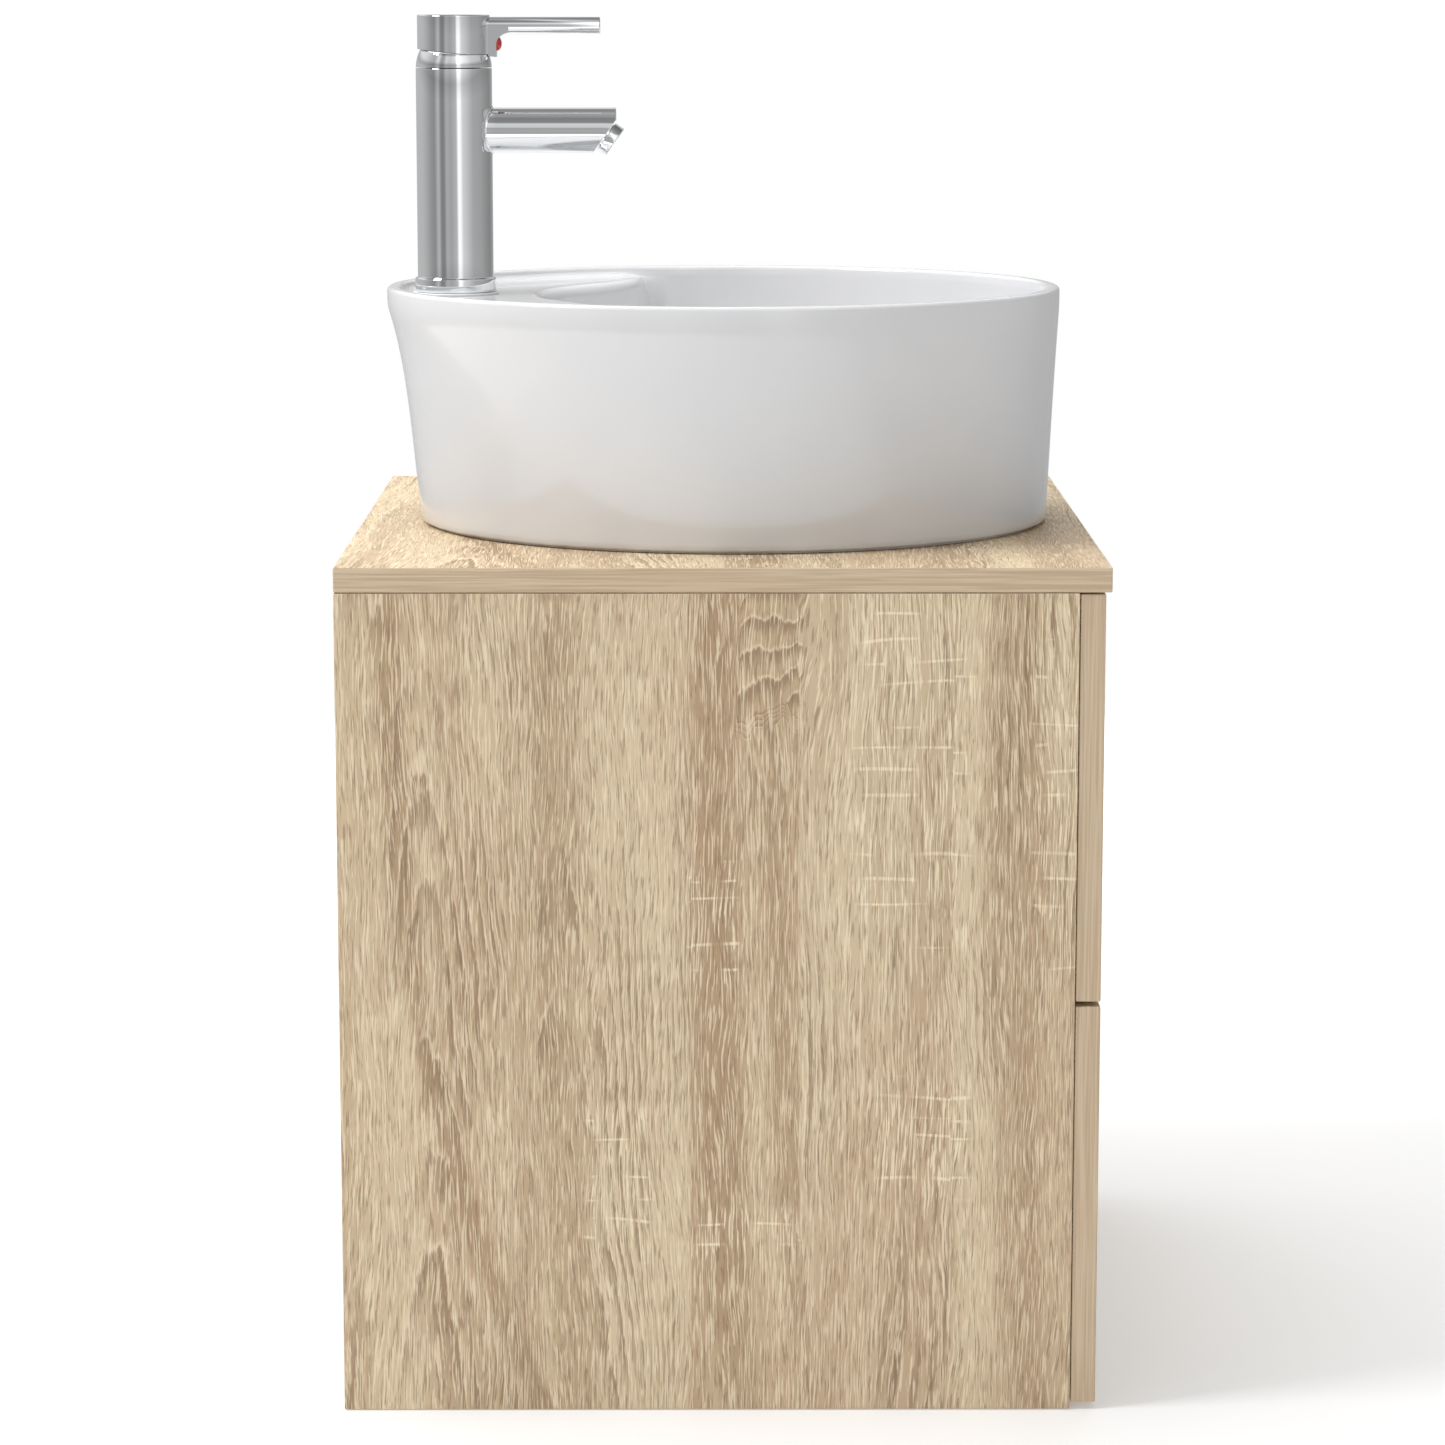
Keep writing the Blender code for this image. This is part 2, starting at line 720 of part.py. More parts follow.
def trap():
    fit = TAIL_R + TOUCH
    nut_top = TAIL_END + 0.016
    nut_low = TRAP_TOP + TOUCH
    nut = [(0.024, nut_top), (0.024, nut_low), (fit, nut_low), (fit, nut_top)]
    turned("trap_inlet_nut", (0, WASTE_Y, 0), nut, PLASTIC)
    head_low = TRAP_TOP - TRAP_HEAD
    tube_top = TAIL_END - TOUCH
    tube_low = head_low - TRAP_CUP * 0.5
    bore = TAIL_R - PIPE_WALL
    tube = [(TAIL_R, tube_top), (TAIL_R, tube_low), (bore, tube_low), (bore, tube_top)]
    turned("trap_dip_tube", (0, WASTE_Y, 0), tube, PLASTIC)
    inner = TRAP_R - TRAP_WALL
    head = [
        (TRAP_R - 0.008, TRAP_TOP),
        (TRAP_R, TRAP_TOP - 0.008),
        (TRAP_R, head_low),
        (inner, head_low),
        (inner, TRAP_TOP - 0.009),
        (inner - 0.007, TRAP_TOP - 0.003),
        (fit, TRAP_TOP - 0.003),
        (fit, TRAP_TOP),
    ]
    body = turned("trap_body", (0, WASTE_Y, 0), head, PLASTIC)
    socket_y = WASTE_Y + TRAP_R + 0.030
    socket_r = fit + PIPE_WALL + 0.001
    socket_start = (0, WASTE_Y + inner + 0.0005, OUTLET_Z)
    socket = rod("trap_socket", socket_start, (0, socket_y, OUTLET_Z), socket_r)
    bore_start = (0, WASTE_Y + TAIL_R + 0.004, OUTLET_Z)
    join(body, socket)
    cut(body, rod("trap_socket_bore", bore_start, (0, socket_y + 0.01, OUTLET_Z), fit))
    cup_top = head_low - TOUCH
    cup_low = cup_top - TRAP_CUP
    cup = [
        (TRAP_R, cup_top),
        (TRAP_R, cup_low + 0.012),
        (TRAP_R - 0.004, cup_low + 0.004),
        (TRAP_R - 0.012, cup_low),
        (0, cup_low),
        (0, cup_low + TRAP_WALL),
        (inner - 0.010, cup_low + TRAP_WALL),
        (inner, cup_low + 0.013),
        (inner, cup_top),
    ]
    turned("trap_cup", (0, WASTE_Y, 0), cup, PLASTIC)
    pipe_y = WASTE_Y + TRAP_R + 0.006
    length = BACK_Y - pipe_y
    pipe = [(TAIL_R, length), (TAIL_R, 0), (bore, 0), (bore, length)]
    turned(
        "trap_outlet_tube", (0, pipe_y, OUTLET_Z), pipe, PLASTIC, direction=(0, 1, 0)
    )
    grip = socket_r + TOUCH
    nut = [
        (grip + 0.004, 0.008),
        (grip + 0.004, -0.014),
        (grip, -0.014),
        (grip, TOUCH),
        (fit, TOUCH),
        (fit, 0.008),
    ]
    turned("trap_outlet_nut", (0, socket_y, OUTLET_Z), nut, PLASTIC, direction=(0, 1, 0))


# Mixer


def mixer_body():
    place = (0, TAP_Y, DECK_Z)
    low = GASKET + 2 * TOUCH
    gasket = [
        (FLANGE_R + 0.0017, GASKET + TOUCH),
        (FLANGE_R + 0.0017, TOUCH),
        (0.0165, TOUCH),
        (0.0165, GASKET + TOUCH),
    ]
    turned("mixer_gasket", place, gasket, SEAL)
    bore = CARTRIDGE_R + TOUCH
    bore_low = COLUMN_HEIGHT - CARTRIDGE_DEPTH
    profile = [
        (COLUMN_R - 0.0006, COLUMN_HEIGHT),
        (COLUMN_R, COLUMN_HEIGHT - 0.0006),
        (COLUMN_R, FLANGE_TOP + 0.0008),
        (FLANGE_R - 0.0006, FLANGE_TOP),
        (FLANGE_R, FLANGE_TOP - 0.0008),
        (FLANGE_R, low),
        (0, low),
        (0, bore_low),
        (bore, bore_low),
        (bore, COLUMN_HEIGHT),
    ]
    body = turned("mixer_body", place, profile, CHROME, segments=36)
    port = rod(
        "mixer_spout_port", (0, TAP_Y - 0.001, SPOUT_Z), (0, TAP_Y - COLUMN_R - 0.01, SPOUT_Z), WATERWAY_R
    )
    cut(body, port)
    base = DECK_Z + low
    stud = (0, TAP_Y - 0.010)
    cut(body, rod("stud_hole", (*stud, base - 0.01), (*stud, base + 0.012), 0.0043, segments=16))
    rod("fixing_stud", (*stud, DECK_Z - 0.055), (*stud, base + 0.0115), 0.004, STEEL, 16)
    for name, x in (("hot", -0.008), ("cold", 0.008)):
        at = (x, TAP_Y + 0.006)
        cut(
            body,
            rod(name + "_socket", (*at, base - 0.01), (*at, base + 0.012), 0.0058, segments=16),
            rod(name + "_waterway", (*at, base), (*at, DECK_Z + bore_low + 0.005), 0.003, segments=12),
        )
        tail_low = DECK_Z - 0.070
        tail = rod("inlet_tail_" + name, (*at, tail_low), (*at, base + 0.0115), 0.0055, BRASS, 16)
        cut(tail, rod(name + "_bore", (*at, tail_low - 0.01), (*at, base + 0.03), 0.0032, segments=12))
    fixings(stud)


def fixings(stud):
    """The horseshoe washer under the deck, in front of the inlet tails, and the nut that pulls it up."""
    top = DECK_Z - DECK_THICKNESS - TOUCH
    outline = arc((0, TAP_Y), 0.024, 180, 360, 18)
    washer = plate("horseshoe_washer", outline, (0, 0, top - 0.0015), 0.003, STEEL)
    hole = rod("washer_hole", (*stud, top - 0.03), (*stud, top + 0.01), 0.0043, segments=16)
    cut(washer, hole)
    nut_top = top - 0.003 - TOUCH
    nut = rod("fixing_nut", (*stud, nut_top - 0.008), (*stud, nut_top), 0.0075, STEEL, segments=6)
    cut(nut, hole)


def spout():
    """A round bar that starts on the column's surface, ends blunt, and is cut away below for the aerator."""
    start = (0, TAP_Y - COLUMN_R + 0.006, SPOUT_Z)
    end_y = TAP_Y - SPOUT_REACH
    bar = rod("spout", start, (0, end_y, SPOUT_Z), SPOUT_R, CHROME, segments=32)
    column = rod(
        "spout_seat", (0, TAP_Y, DECK_Z), (0, TAP_Y, COLUMN_TOP), COLUMN_R + TOUCH, segments=36
    )
    out = Vector((0, -math.cos(OUTLET_TILT), -math.sin(OUTLET_TILT)))
    face = Vector((0, end_y + 0.0008, SPOUT_Z - 0.0077))
    seat = face - AERATOR_OUT * out
    slant = box("spout_slant", (-0.03, -0.03, 0), (0.03, 0.03, 0.03))
    slant.rotation_mode = "QUATERNION"
    slant.rotation_quaternion = out.to_track_quat("Z", "Y")
    slant.location = seat + 0.015 * out
    inner = seat - 0.0165 * out
    cut(
        bar,
        column,
        slant,
        rod("spout_bore", (0, TAP_Y, SPOUT_Z), inner, WATERWAY_R),
        rod("spout_outlet", inner, seat + 0.02 * out, AERATOR_R - 0.0008),
    )
    thread = AERATOR_R - 0.0008 - TOUCH
    mesh_r = thread - 0.0018
    profile = [
        (thread, -0.006),
        (thread, TOUCH),
        (AERATOR_R, TOUCH),
        (AERATOR_R, AERATOR_OUT - 0.0005),
        (AERATOR_R - 0.0005, AERATOR_OUT),
        (mesh_r + 0.0004, AERATOR_OUT),
        (mesh_r, AERATOR_OUT - 0.0015),
        (0, AERATOR_OUT - 0.0015),
        (0, -0.006),
    ]
    turned("aerator", seat, profile[::-1], CHROME, direction=out, segments=32)


def bonnet():
    """The dome over the cartridge, a ball about the lever's pivot with its top open for the stem."""
    top = BONNET_HEIGHT
    inner_r = BONNET_R - BONNET_WALL

    def dome(radius, first, last, steps):
        return arc((0, 0), radius, first, last, steps)

    outer_top = math.degrees(math.asin(top / BONNET_R))
    inner_top = math.degrees(math.asin(top / inner_r))
    base = math.degrees(math.asin(TOUCH / BONNET_R))
    profile = dome(BONNET_R, outer_top, base, 6) + dome(inner_r, base, inner_top, 4)
    turned("bonnet", PIVOT, profile, CHROME, segments=36)


def cartridge():
    low = -CARTRIDGE_DEPTH + TOUCH
    top = -0.0105
    turned(
        "cartridge", PIVOT, [(0, top), (CARTRIDGE_R, top), (CARTRIDGE_R, low), (0, low)], PLASTIC
    )
    nut_low = top + TOUCH
    nut = [(CARTRIDGE_R, -0.003), (CARTRIDGE_R, nut_low), (0.0120, nut_low), (0.0120, -0.003)]
    turned("cartridge_nut", PIVOT, nut, BRASS)
    disc_top = nut_low + 0.0037
    disc = [(0, disc_top), (0.0115, disc_top), (0.0115, nut_low), (0, nut_low)]
    carrier = turned("cartridge_carrier", PIVOT, disc, PLASTIC)
    ear_x = STEM_HALF.x + 0.0006
    for side, sign in LEFT_RIGHT:
        x = across(sign, ear_x, ear_x + 0.003)
        ear = box(
            "carrier_ear_" + side,
            PIVOT + Vector((x[0], -0.005, nut_low + 0.001)),
            PIVOT + Vector((x[1], 0.005, 0.0045)),
        )
        join(carrier, ear)
    pin = PIVOT + Vector((0.02, 0, 0)), PIVOT - Vector((0.02, 0, 0))
    cut(carrier, rod("carrier_pin_hole", *pin, 0.0022, segments=16))
    ride([carrier], PIVOT, "mixer_turn")


def handle():
    """The hub with its pin lever and nose, hollowed below so that it can tip over the bonnet."""
    top = HUB_TOP
    hub = turned(
        "handle",
        PIVOT,
        [(0, top), (HUB_R - 0.0008, top), (HUB_R, top - 0.0008), (HUB_R, 0.004), (0, 0.004)],
        CHROME,
        segments=36,
    )
    tip = PIVOT + Vector((0, -LEVER_REACH, LEVER_RISE))
    lever = rod("handle_lever", PIVOT + Vector((0, 0, LEVER_RISE)), tip, LEVER_R, segments=24)
    nose_y = TAP_Y - NOSE_REACH
    half = NOSE_WIDTH / 2
    nose = box(
        "handle_nose",
        (-half, nose_y, COLUMN_TOP + 0.005),
        (half, TAP_Y - HUB_R + 0.004, COLUMN_TOP + LEVER_RISE + 0.002),
    )
    back = Vector((0, HUB_R, 0.012))
    front = Vector((0, -NOSE_REACH, 0.007))
    slope = (back - front).normalized()
    normal = Vector((0, -slope.z, slope.y))
    slant = box("handle_slant", (-0.04, -0.04, -0.02), (0.04, 0.04, 0.02))
    slant.location = PIVOT + (back + front) / 2 - 0.02 * normal
    slant.rotation_mode = "QUATERNION"
    slant.rotation_quaternion = normal.to_track_quat("Z", "Y")
    stem_top = HUB_TOP - 0.0024
    fit = STEM_HALF + Vector((TOUCH, TOUCH))
    socket = box(
        "handle_socket",
        PIVOT + Vector((-fit.x, -fit.y, 0.01)),
        PIVOT + Vector((fit.x, fit.y, stem_top + TOUCH)),
    )
    pocket_floor = nose_y + 0.0023
    button_z = COLUMN_TOP + BUTTON_RISE
    pocket = rod(
        "handle_pocket", (0, nose_y - 0.005, button_z), (0, pocket_floor, button_z), BUTTON_R + TOUCH
    )
    screw_to = Vector((0, TAP_Y - STEM_HALF.y - 0.0012, COLUMN_TOP + 0.0290))
    screw_from = Vector((0, pocket_floor - 0.0008, button_z + 0.0016))
    along = (screw_to - screw_from).normalized()
    screw_hole = rod("handle_screw_hole", screw_from, screw_to + 0.002 * along, 0.0018, segments=16)
    join(hub, lever, nose)
    cut(hub, ball("handle_hollow", PIVOT, BONNET_R + 0.0005), slant, socket, pocket, screw_hole)
    screw = rod("grub_screw", screw_to - 0.009 * along, screw_to, 0.0015, STEEL, segments=16)
    face = nose_y + 0.002
    dome = [(0, 0.0053), (0.0025, 0.0048), (BUTTON_R - 0.0005, 0.0032), (BUTTON_R, 0.0022), (BUTTON_R, 0), (0, 0)]
    button = turned(
        "index_button", (0, face, button_z), dome, INDEX, direction=(0, -1, 0), segments=28
    )
    stem = box(
        "mixer_stem",
        PIVOT + Vector((-STEM_HALF.x, -STEM_HALF.y, -0.0045)),
        PIVOT + Vector((STEM_HALF.x, STEM_HALF.y, stem_top)),
        STEEL,
    )
    reach = STEM_HALF.x + 0.0033
    join(
        stem,
        rod(
            "stem_pin",
            PIVOT - Vector((reach, 0, 0)),
            PIVOT + Vector((reach, 0, 0)),
            0.0019,
            segments=16,
        ),
    )
    ride([hub, screw, button, stem], PIVOT, "mixer_lift")


worktop()
carcass()
hanging_brackets()
drawer("lower_drawer", FRONT_RAISE, notched=False)
drawer("upper_drawer", FRONT_RAISE + FRONT_HEIGHT + FRONT_GAP, notched=True)
basin()
waste()
waste_cap()
trap()
mixer_body()
spout()
bonnet()
cartridge()
handle()
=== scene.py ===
"""The looks of a vessel sink on a vanity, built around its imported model. Metres, +Z up, the wall at +Y."""

import json
import math

import bmesh
import bpy
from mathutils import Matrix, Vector

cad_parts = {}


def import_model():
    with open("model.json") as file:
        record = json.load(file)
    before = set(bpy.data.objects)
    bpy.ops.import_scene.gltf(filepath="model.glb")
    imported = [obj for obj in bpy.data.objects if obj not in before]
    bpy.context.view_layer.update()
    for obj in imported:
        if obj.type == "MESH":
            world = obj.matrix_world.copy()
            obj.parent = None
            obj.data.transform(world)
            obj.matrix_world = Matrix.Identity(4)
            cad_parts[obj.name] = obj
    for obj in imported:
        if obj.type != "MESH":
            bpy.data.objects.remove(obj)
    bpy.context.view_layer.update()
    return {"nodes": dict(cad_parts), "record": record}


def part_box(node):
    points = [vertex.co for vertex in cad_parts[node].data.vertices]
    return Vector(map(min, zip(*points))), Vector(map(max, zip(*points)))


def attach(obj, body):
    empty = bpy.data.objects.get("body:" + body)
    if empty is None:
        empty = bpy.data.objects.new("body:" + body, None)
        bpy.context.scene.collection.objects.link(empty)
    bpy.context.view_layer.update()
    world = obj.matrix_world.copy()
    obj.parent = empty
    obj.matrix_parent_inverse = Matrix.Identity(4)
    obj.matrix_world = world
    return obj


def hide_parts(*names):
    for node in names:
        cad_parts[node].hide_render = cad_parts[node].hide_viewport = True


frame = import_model()

# Places read from the frame
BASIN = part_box("basin")
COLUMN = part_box("mixer_body")
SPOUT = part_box("spout")
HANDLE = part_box("handle")
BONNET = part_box("bonnet")
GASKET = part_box("mixer_gasket")
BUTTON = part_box("index_button")
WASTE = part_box("waste_body")
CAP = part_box("waste_cap")

TAP_Y = (COLUMN[0].y + COLUMN[1].y) / 2
DECK_Z = GASKET[0].z
COLUMN_TOP = COLUMN[1].z
PIVOT = Vector((0, TAP_Y, COLUMN_TOP))
WASTE_Y = (WASTE[0].y + WASTE[1].y) / 2


# Materials


class Shader:
    """A material under construction. Inputs are sockets of other nodes or plain values."""

    def __init__(self, name):
        self.material = bpy.data.materials.new(name)
        self.material.use_nodes = True
        self.tree = self.material.node_tree
        self.surface = self.tree.nodes["Principled BSDF"]
        self.place = self.add("ShaderNodeTexCoord", out="Object")

    def put(self, socket, value):
        if isinstance(value, bpy.types.NodeSocket):
            self.tree.links.new(value, socket)
        else:
            socket.default_value = value

    def add(self, kind, *values, out=0, named=None, **settings):
        node = self.tree.nodes.new(kind)
        for key, value in settings.items():
            setattr(node, key, value)
        for socket, value in zip(node.inputs, values):
            self.put(socket, value)
        for key, value in (named or {}).items():
            self.put(node.inputs[key], value)
        return node.outputs[out]

    def split(self, vector):
        """The X, Y and Z parts of a vector."""
        node = self.tree.nodes.new("ShaderNodeSeparateXYZ")
        self.put(node.inputs[0], vector)
        return node.outputs

    def math(self, operation, *values):
        return self.add("ShaderNodeMath", *values, operation=operation)

    def vector(self, operation, *values):
        return self.add("ShaderNodeVectorMath", *values, operation=operation)

    def noise(self, place, stretch, seed=0.0, detail=2.0, roughness=0.5):
        """Noise of about one feature per unit, after the place is stretched and moved on by the seed."""
        spot = self.vector("MULTIPLY", place, stretch)
        spot = self.vector("ADD", spot, (seed, seed * 1.7, seed * 2.3))
        values = {"Vector": spot, "Scale": 1.0, "Detail": detail, "Roughness": roughness}
        return self.add("ShaderNodeTexNoise", named=values)

    def between(self, value, low, high, to_low=0.0, to_high=1.0):
        """The value's place between low and high, limited to to_low and to_high, with soft ends."""
        names = ("Value", "From Min", "From Max", "To Min", "To Max")
        values = dict(zip(names, (value, low, high, to_low, to_high)))
        return self.add("ShaderNodeMapRange", named=values, interpolation_type="SMOOTHSTEP")

    def mix(self, factor, first, second, blend="MIX"):
        node = self.tree.nodes.new("ShaderNodeMix")
        node.data_type = "RGBA"
        node.blend_type = blend
        for socket, value in zip((node.inputs[0], node.inputs[6], node.inputs[7]), (factor, first, second)):
            self.put(socket, value)
        return node.outputs[2]

    def bump(self, height, strength, distance):
        values = {"Height": height, "Strength": strength, "Distance": distance}
        self.put(self.surface.inputs["Normal"], self.add("ShaderNodeBump", named=values))

    def set(self, **values):
        for key, value in values.items():
            self.put(self.surface.inputs[key.replace("_", " ")], value)


def srgb(red, green, blue):
    """A colour from 0 to 255 sRGB values."""

    def linear(value):
        value /= 255
        return value / 12.92 if value < 0.04045 else ((value + 0.055) / 1.055) ** 2.4

    return (linear(red), linear(green), linear(blue), 1.0)


# The oak decor is printed in planks across its grain. A row says where a plank starts, where its arches are
# centred, how strongly they arch and how pale it is.
PLANKS = (
    (-0.300, -0.255, 0.2, 0.40),
    (-0.137, -0.090, 0.0, 0.85),
    (-0.045, -0.016, 1.0, 0.30),
    (0.019, 0.097, 0.9, 0.75),
    (0.111, 0.178, 1.0, 0.60),
    (0.2007, 0.240, 0.3, 0.45),
)
ARCH_STEEP = 2600.0  # rings per square metre across an arch
ARCH_LONG = 13.0  # rings per metre along it
RING_RATE = 120.0  # rings per metre across straight grain
# Patches of pale saw marks: the middle across and along the grain, then the half sizes
SAW_PATCHES = (
    (-0.112, 0.395, 0.036, 0.115),
    (-0.200, 0.370, 0.016, 0.100),
    (0.006, 0.300, 0.016, 0.045),
    (0.062, 0.145, 0.020, 0.055),
    (-0.015, 0.112, 0.034, 0.016),
    (-0.120, 0.170, 0.030, 0.040),
)
SAW_STEP = 0.0132  # from one row of marks to the next
SWIRL_CENTRE = (-0.040, 0.415)
SWIRL_RATE = 62.0  # rings per metre around the swirl
SWIRL_PATCH = (-0.030, 0.470, 0.024, 0.052)
# Brown streaks: the middle at the top, half the width, how far they lean lower down, and how strong they are
BANDS = (
    (0.197, 0.011, 0.50, 0.75),
    (0.097, 0.018, 0.05, 0.55),
    (0.006, 0.016, 0.08, 0.60),
    (-0.030, 0.010, 0.12, 0.45),
    (-0.168, 0.020, 0.10, 0.40),
)
OAK_TAN = srgb(180, 153, 120)
OAK_PALE = srgb(213, 192, 159)
OAK_CREAM = srgb(210, 191, 161)
OAK_PINK = srgb(192, 162, 131)
OAK_BROWN = srgb(165, 137, 104)
OAK_LATE = srgb(140, 114, 84)
OAK_RIM = srgb(230, 213, 182)
OAK_PORE = srgb(126, 101, 72)
OAK_FIBRE = srgb(240, 223, 192)
OAK_SAWN = srgb(244, 230, 200)
EDGE_DARK = srgb(186, 163, 133)
EDGE_PALE = srgb(205, 185, 157)
EDGE_WARM = srgb(196, 168, 142)
AXES = {"X": 0, "Y": 1, "Z": 2}


def oak(name, thickness, across, along, shift=(0.0, 0.0)):
    """Light oak decor on a board's faces, and fine straight grain on its edges. The axes are X, Y or Z."""
    shader = Shader(name)
    parts = shader.split(shader.place)
    u = shader.math("ADD", parts[AXES[across]], shift[0])
    v = shader.math("ADD", parts[AXES[along]], shift[1])
    seed, centre, arching, tone = plank_values(shader, u)
    flat = shader.add("ShaderNodeCombineXYZ", u, v, seed)
    sway = shader.noise(flat, (16.0, 3.2, 1.0), 1.0, detail=2.0)
    bent = bend(shader, flat, u, sway)
    grain = shader.add("ShaderNodeCombineXYZ", bent, v, seed)

    broad = shader.noise(grain, (30.0, 1.8, 1.0), 11.0, detail=3.0)
    warm = shader.noise(flat, (11.0, 3.0, 1.0), 19.0, detail=2.0)
    color = shader.mix(shader.between(broad, 0.34, 0.66), OAK_TAN, OAK_PALE)
    color = shader.mix(shader.math("MULTIPLY", tone, 0.40), color, OAK_CREAM)
    color = shader.mix(shader.between(warm, 0.50, 0.66, 0.0, 0.45), color, OAK_PINK)
    color = shader.mix(bands(shader, u, v, sway), color, OAK_BROWN)
    late, rim = growth_rings(shader, flat, u, v, bent, centre, arching)
    color = shader.mix(late, color, OAK_LATE)
    color = shader.mix(rim, color, OAK_RIM)

    fibre = shader.noise(grain, (1240.0, 46.0, 1.0), 23.0, detail=2.0, roughness=0.55)
    pale = shader.between(fibre, 0.52, 0.61)
    pore = shader.noise(grain, (1120.0, 62.0, 1.0), 29.0, detail=2.0)
    dark = shader.between(pore, 0.53, 0.63)
    saw = saw_marks(shader, flat, u, v, fibre)
    color = shader.mix(shader.math("MULTIPLY", dark, 0.52), color, OAK_PORE)
    color = shader.mix(shader.math("MULTIPLY", pale, 0.62), color, OAK_FIBRE)
    color = shader.mix(shader.math("MULTIPLY", saw, 0.75), color, OAK_SAWN)

    normal = shader.split(shader.add("ShaderNodeNewGeometry", out="Normal"))
    on_face = shader.math("ABSOLUTE", normal[AXES[thickness]])
    on_face = shader.math("GREATER_THAN", on_face, 0.7)
    color = shader.mix(on_face, edge_color(shader, thickness), color)

    relief = shader.math("SUBTRACT", pale, dark)
    relief = shader.math("MULTIPLY_ADD", saw, 0.6, relief)
    shader.bump(shader.math("MULTIPLY", relief, on_face), 0.25, 0.00012)
    shader.set(Base_Color=color, Roughness=shader.between(broad, 0.2, 0.8, 0.42, 0.56))
    return shader.material


def plank_values(shader, u):
    """A seed, the arches' centre, their strength and the tone, which change from plank to plank."""
    steps = [shader.math("GREATER_THAN", u, plank[0]) for plank in PLANKS[1:]]

    def by_plank(values):
        total = values[0]
        for step, low, high in zip(steps, values, values[1:]):
            total = shader.math("MULTIPLY_ADD", step, high - low, total)
        return total

    seeds = [3.7 * i for i in range(len(PLANKS))]
    return [by_plank(values) for values in (seeds, *([plank[i] for plank in PLANKS] for i in (1, 2, 3)))]


def bend(shader, flat, u, sway):
    """The place across the grain, moved about as grown wood is."""
    ripple = shader.noise(flat, (60.0, 20.0, 1.0), 2.0, detail=1.0)
    bent = shader.math("MULTIPLY_ADD", shader.math("SUBTRACT", sway, 0.5), 0.030, u)
    return shader.math("MULTIPLY_ADD", shader.math("SUBTRACT", ripple, 0.5), 0.0040, bent)


def growth_rings(shader, flat, u, v, bent, centre, arching):
    """How strongly the dark late wood and the pale line after it show."""
    aside = shader.math("SUBTRACT", bent, centre)
    arch = shader.math("MULTIPLY", shader.math("MULTIPLY", aside, aside), ARCH_STEEP)
    arch = shader.math("MULTIPLY_ADD", v, ARCH_LONG, arch)
    straight = shader.math("MULTIPLY", bent, RING_RATE)
    rings = shader.add("ShaderNodeMix", arching, out=0, named={2: straight, 3: arch})
    uneven = shader.noise(flat, (40.0, 9.0, 1.0), 5.0, detail=2.0)
    ragged = shader.noise(flat, (560.0, 90.0, 1.0), 6.0, detail=1.0)
    rings = shader.math("MULTIPLY_ADD", uneven, 1.6, rings)
    swirl, in_swirl = swirls(shader, u, v, uneven)
    rings = shader.add("ShaderNodeMix", in_swirl, out=0, named={2: rings, 3: swirl})
    rings = shader.math("MULTIPLY_ADD", ragged, 0.30, rings)
    wave = shader.math("FRACT", rings)
    late = shader.math("MULTIPLY", shader.between(wave, 0.35, 0.90), shader.between(wave, 1.0, 0.94))
    rim = shader.math("MULTIPLY", shader.between(wave, 0.16, 0.02), shader.between(wave, 0.0, 0.02))
    patches = shader.noise(flat, (20.0, 4.0, 1.0), 8.0, detail=1.0)
    figure = shader.math("MAXIMUM", shader.between(patches, 0.46, 0.62, 0.04, 1.0), in_swirl)
    late = shader.math("MULTIPLY", shader.math("MULTIPLY", late, figure), 0.72)
    rim = shader.math("MULTIPLY", shader.math("MULTIPLY", rim, figure), 0.60)
    return late, rim


def edge_color(shader, thickness):
    """Fine straight layers on a board's cut edges."""

    def layers(rate, seed):
        stretch = [14.0, 14.0, 14.0]
        stretch[AXES[thickness]] = rate
        return shader.noise(shader.place, tuple(stretch), seed, detail=2.0)

    color = shader.mix(shader.between(layers(900.0, 31.0), 0.35, 0.65), EDGE_DARK, EDGE_PALE)
    return shader.mix(shader.between(layers(40.0, 37.0), 0.45, 0.70, 0.0, 0.35), color, EDGE_WARM)


def inside(shader, u, v, spot, ragged):
    """1 inside an oblong patch and 0 outside it, with a ragged border."""
    middle_u, middle_v, half_u, half_v = spot
    du = shader.math("ABSOLUTE", shader.math("SUBTRACT", u, middle_u))
    dv = shader.math("ABSOLUTE", shader.math("SUBTRACT", v, middle_v))
    reach = shader.math("MAXIMUM", shader.math("DIVIDE", du, half_u), shader.math("DIVIDE", dv, half_v))
    reach = shader.math("MULTIPLY_ADD", ragged, 0.9, reach)
    return shader.between(reach, 1.45, 1.20)


def swirls(shader, u, v, uneven):
    """Rings round a point, as above a knot, and where they show."""
    middle_u, middle_v = SWIRL_CENTRE
    du = shader.math("MULTIPLY", shader.math("SUBTRACT", u, middle_u), 1.25)
    dv = shader.math("SUBTRACT", v, middle_v)
    reach = shader.math("SQRT", shader.math("MULTIPLY_ADD", du, du, shader.math("MULTIPLY", dv, dv)))
    rings = shader.math("MULTIPLY", reach, SWIRL_RATE)
    rings = shader.math("MULTIPLY_ADD", uneven, 2.6, rings)
    return rings, inside(shader, u, v, SWIRL_PATCH, uneven)


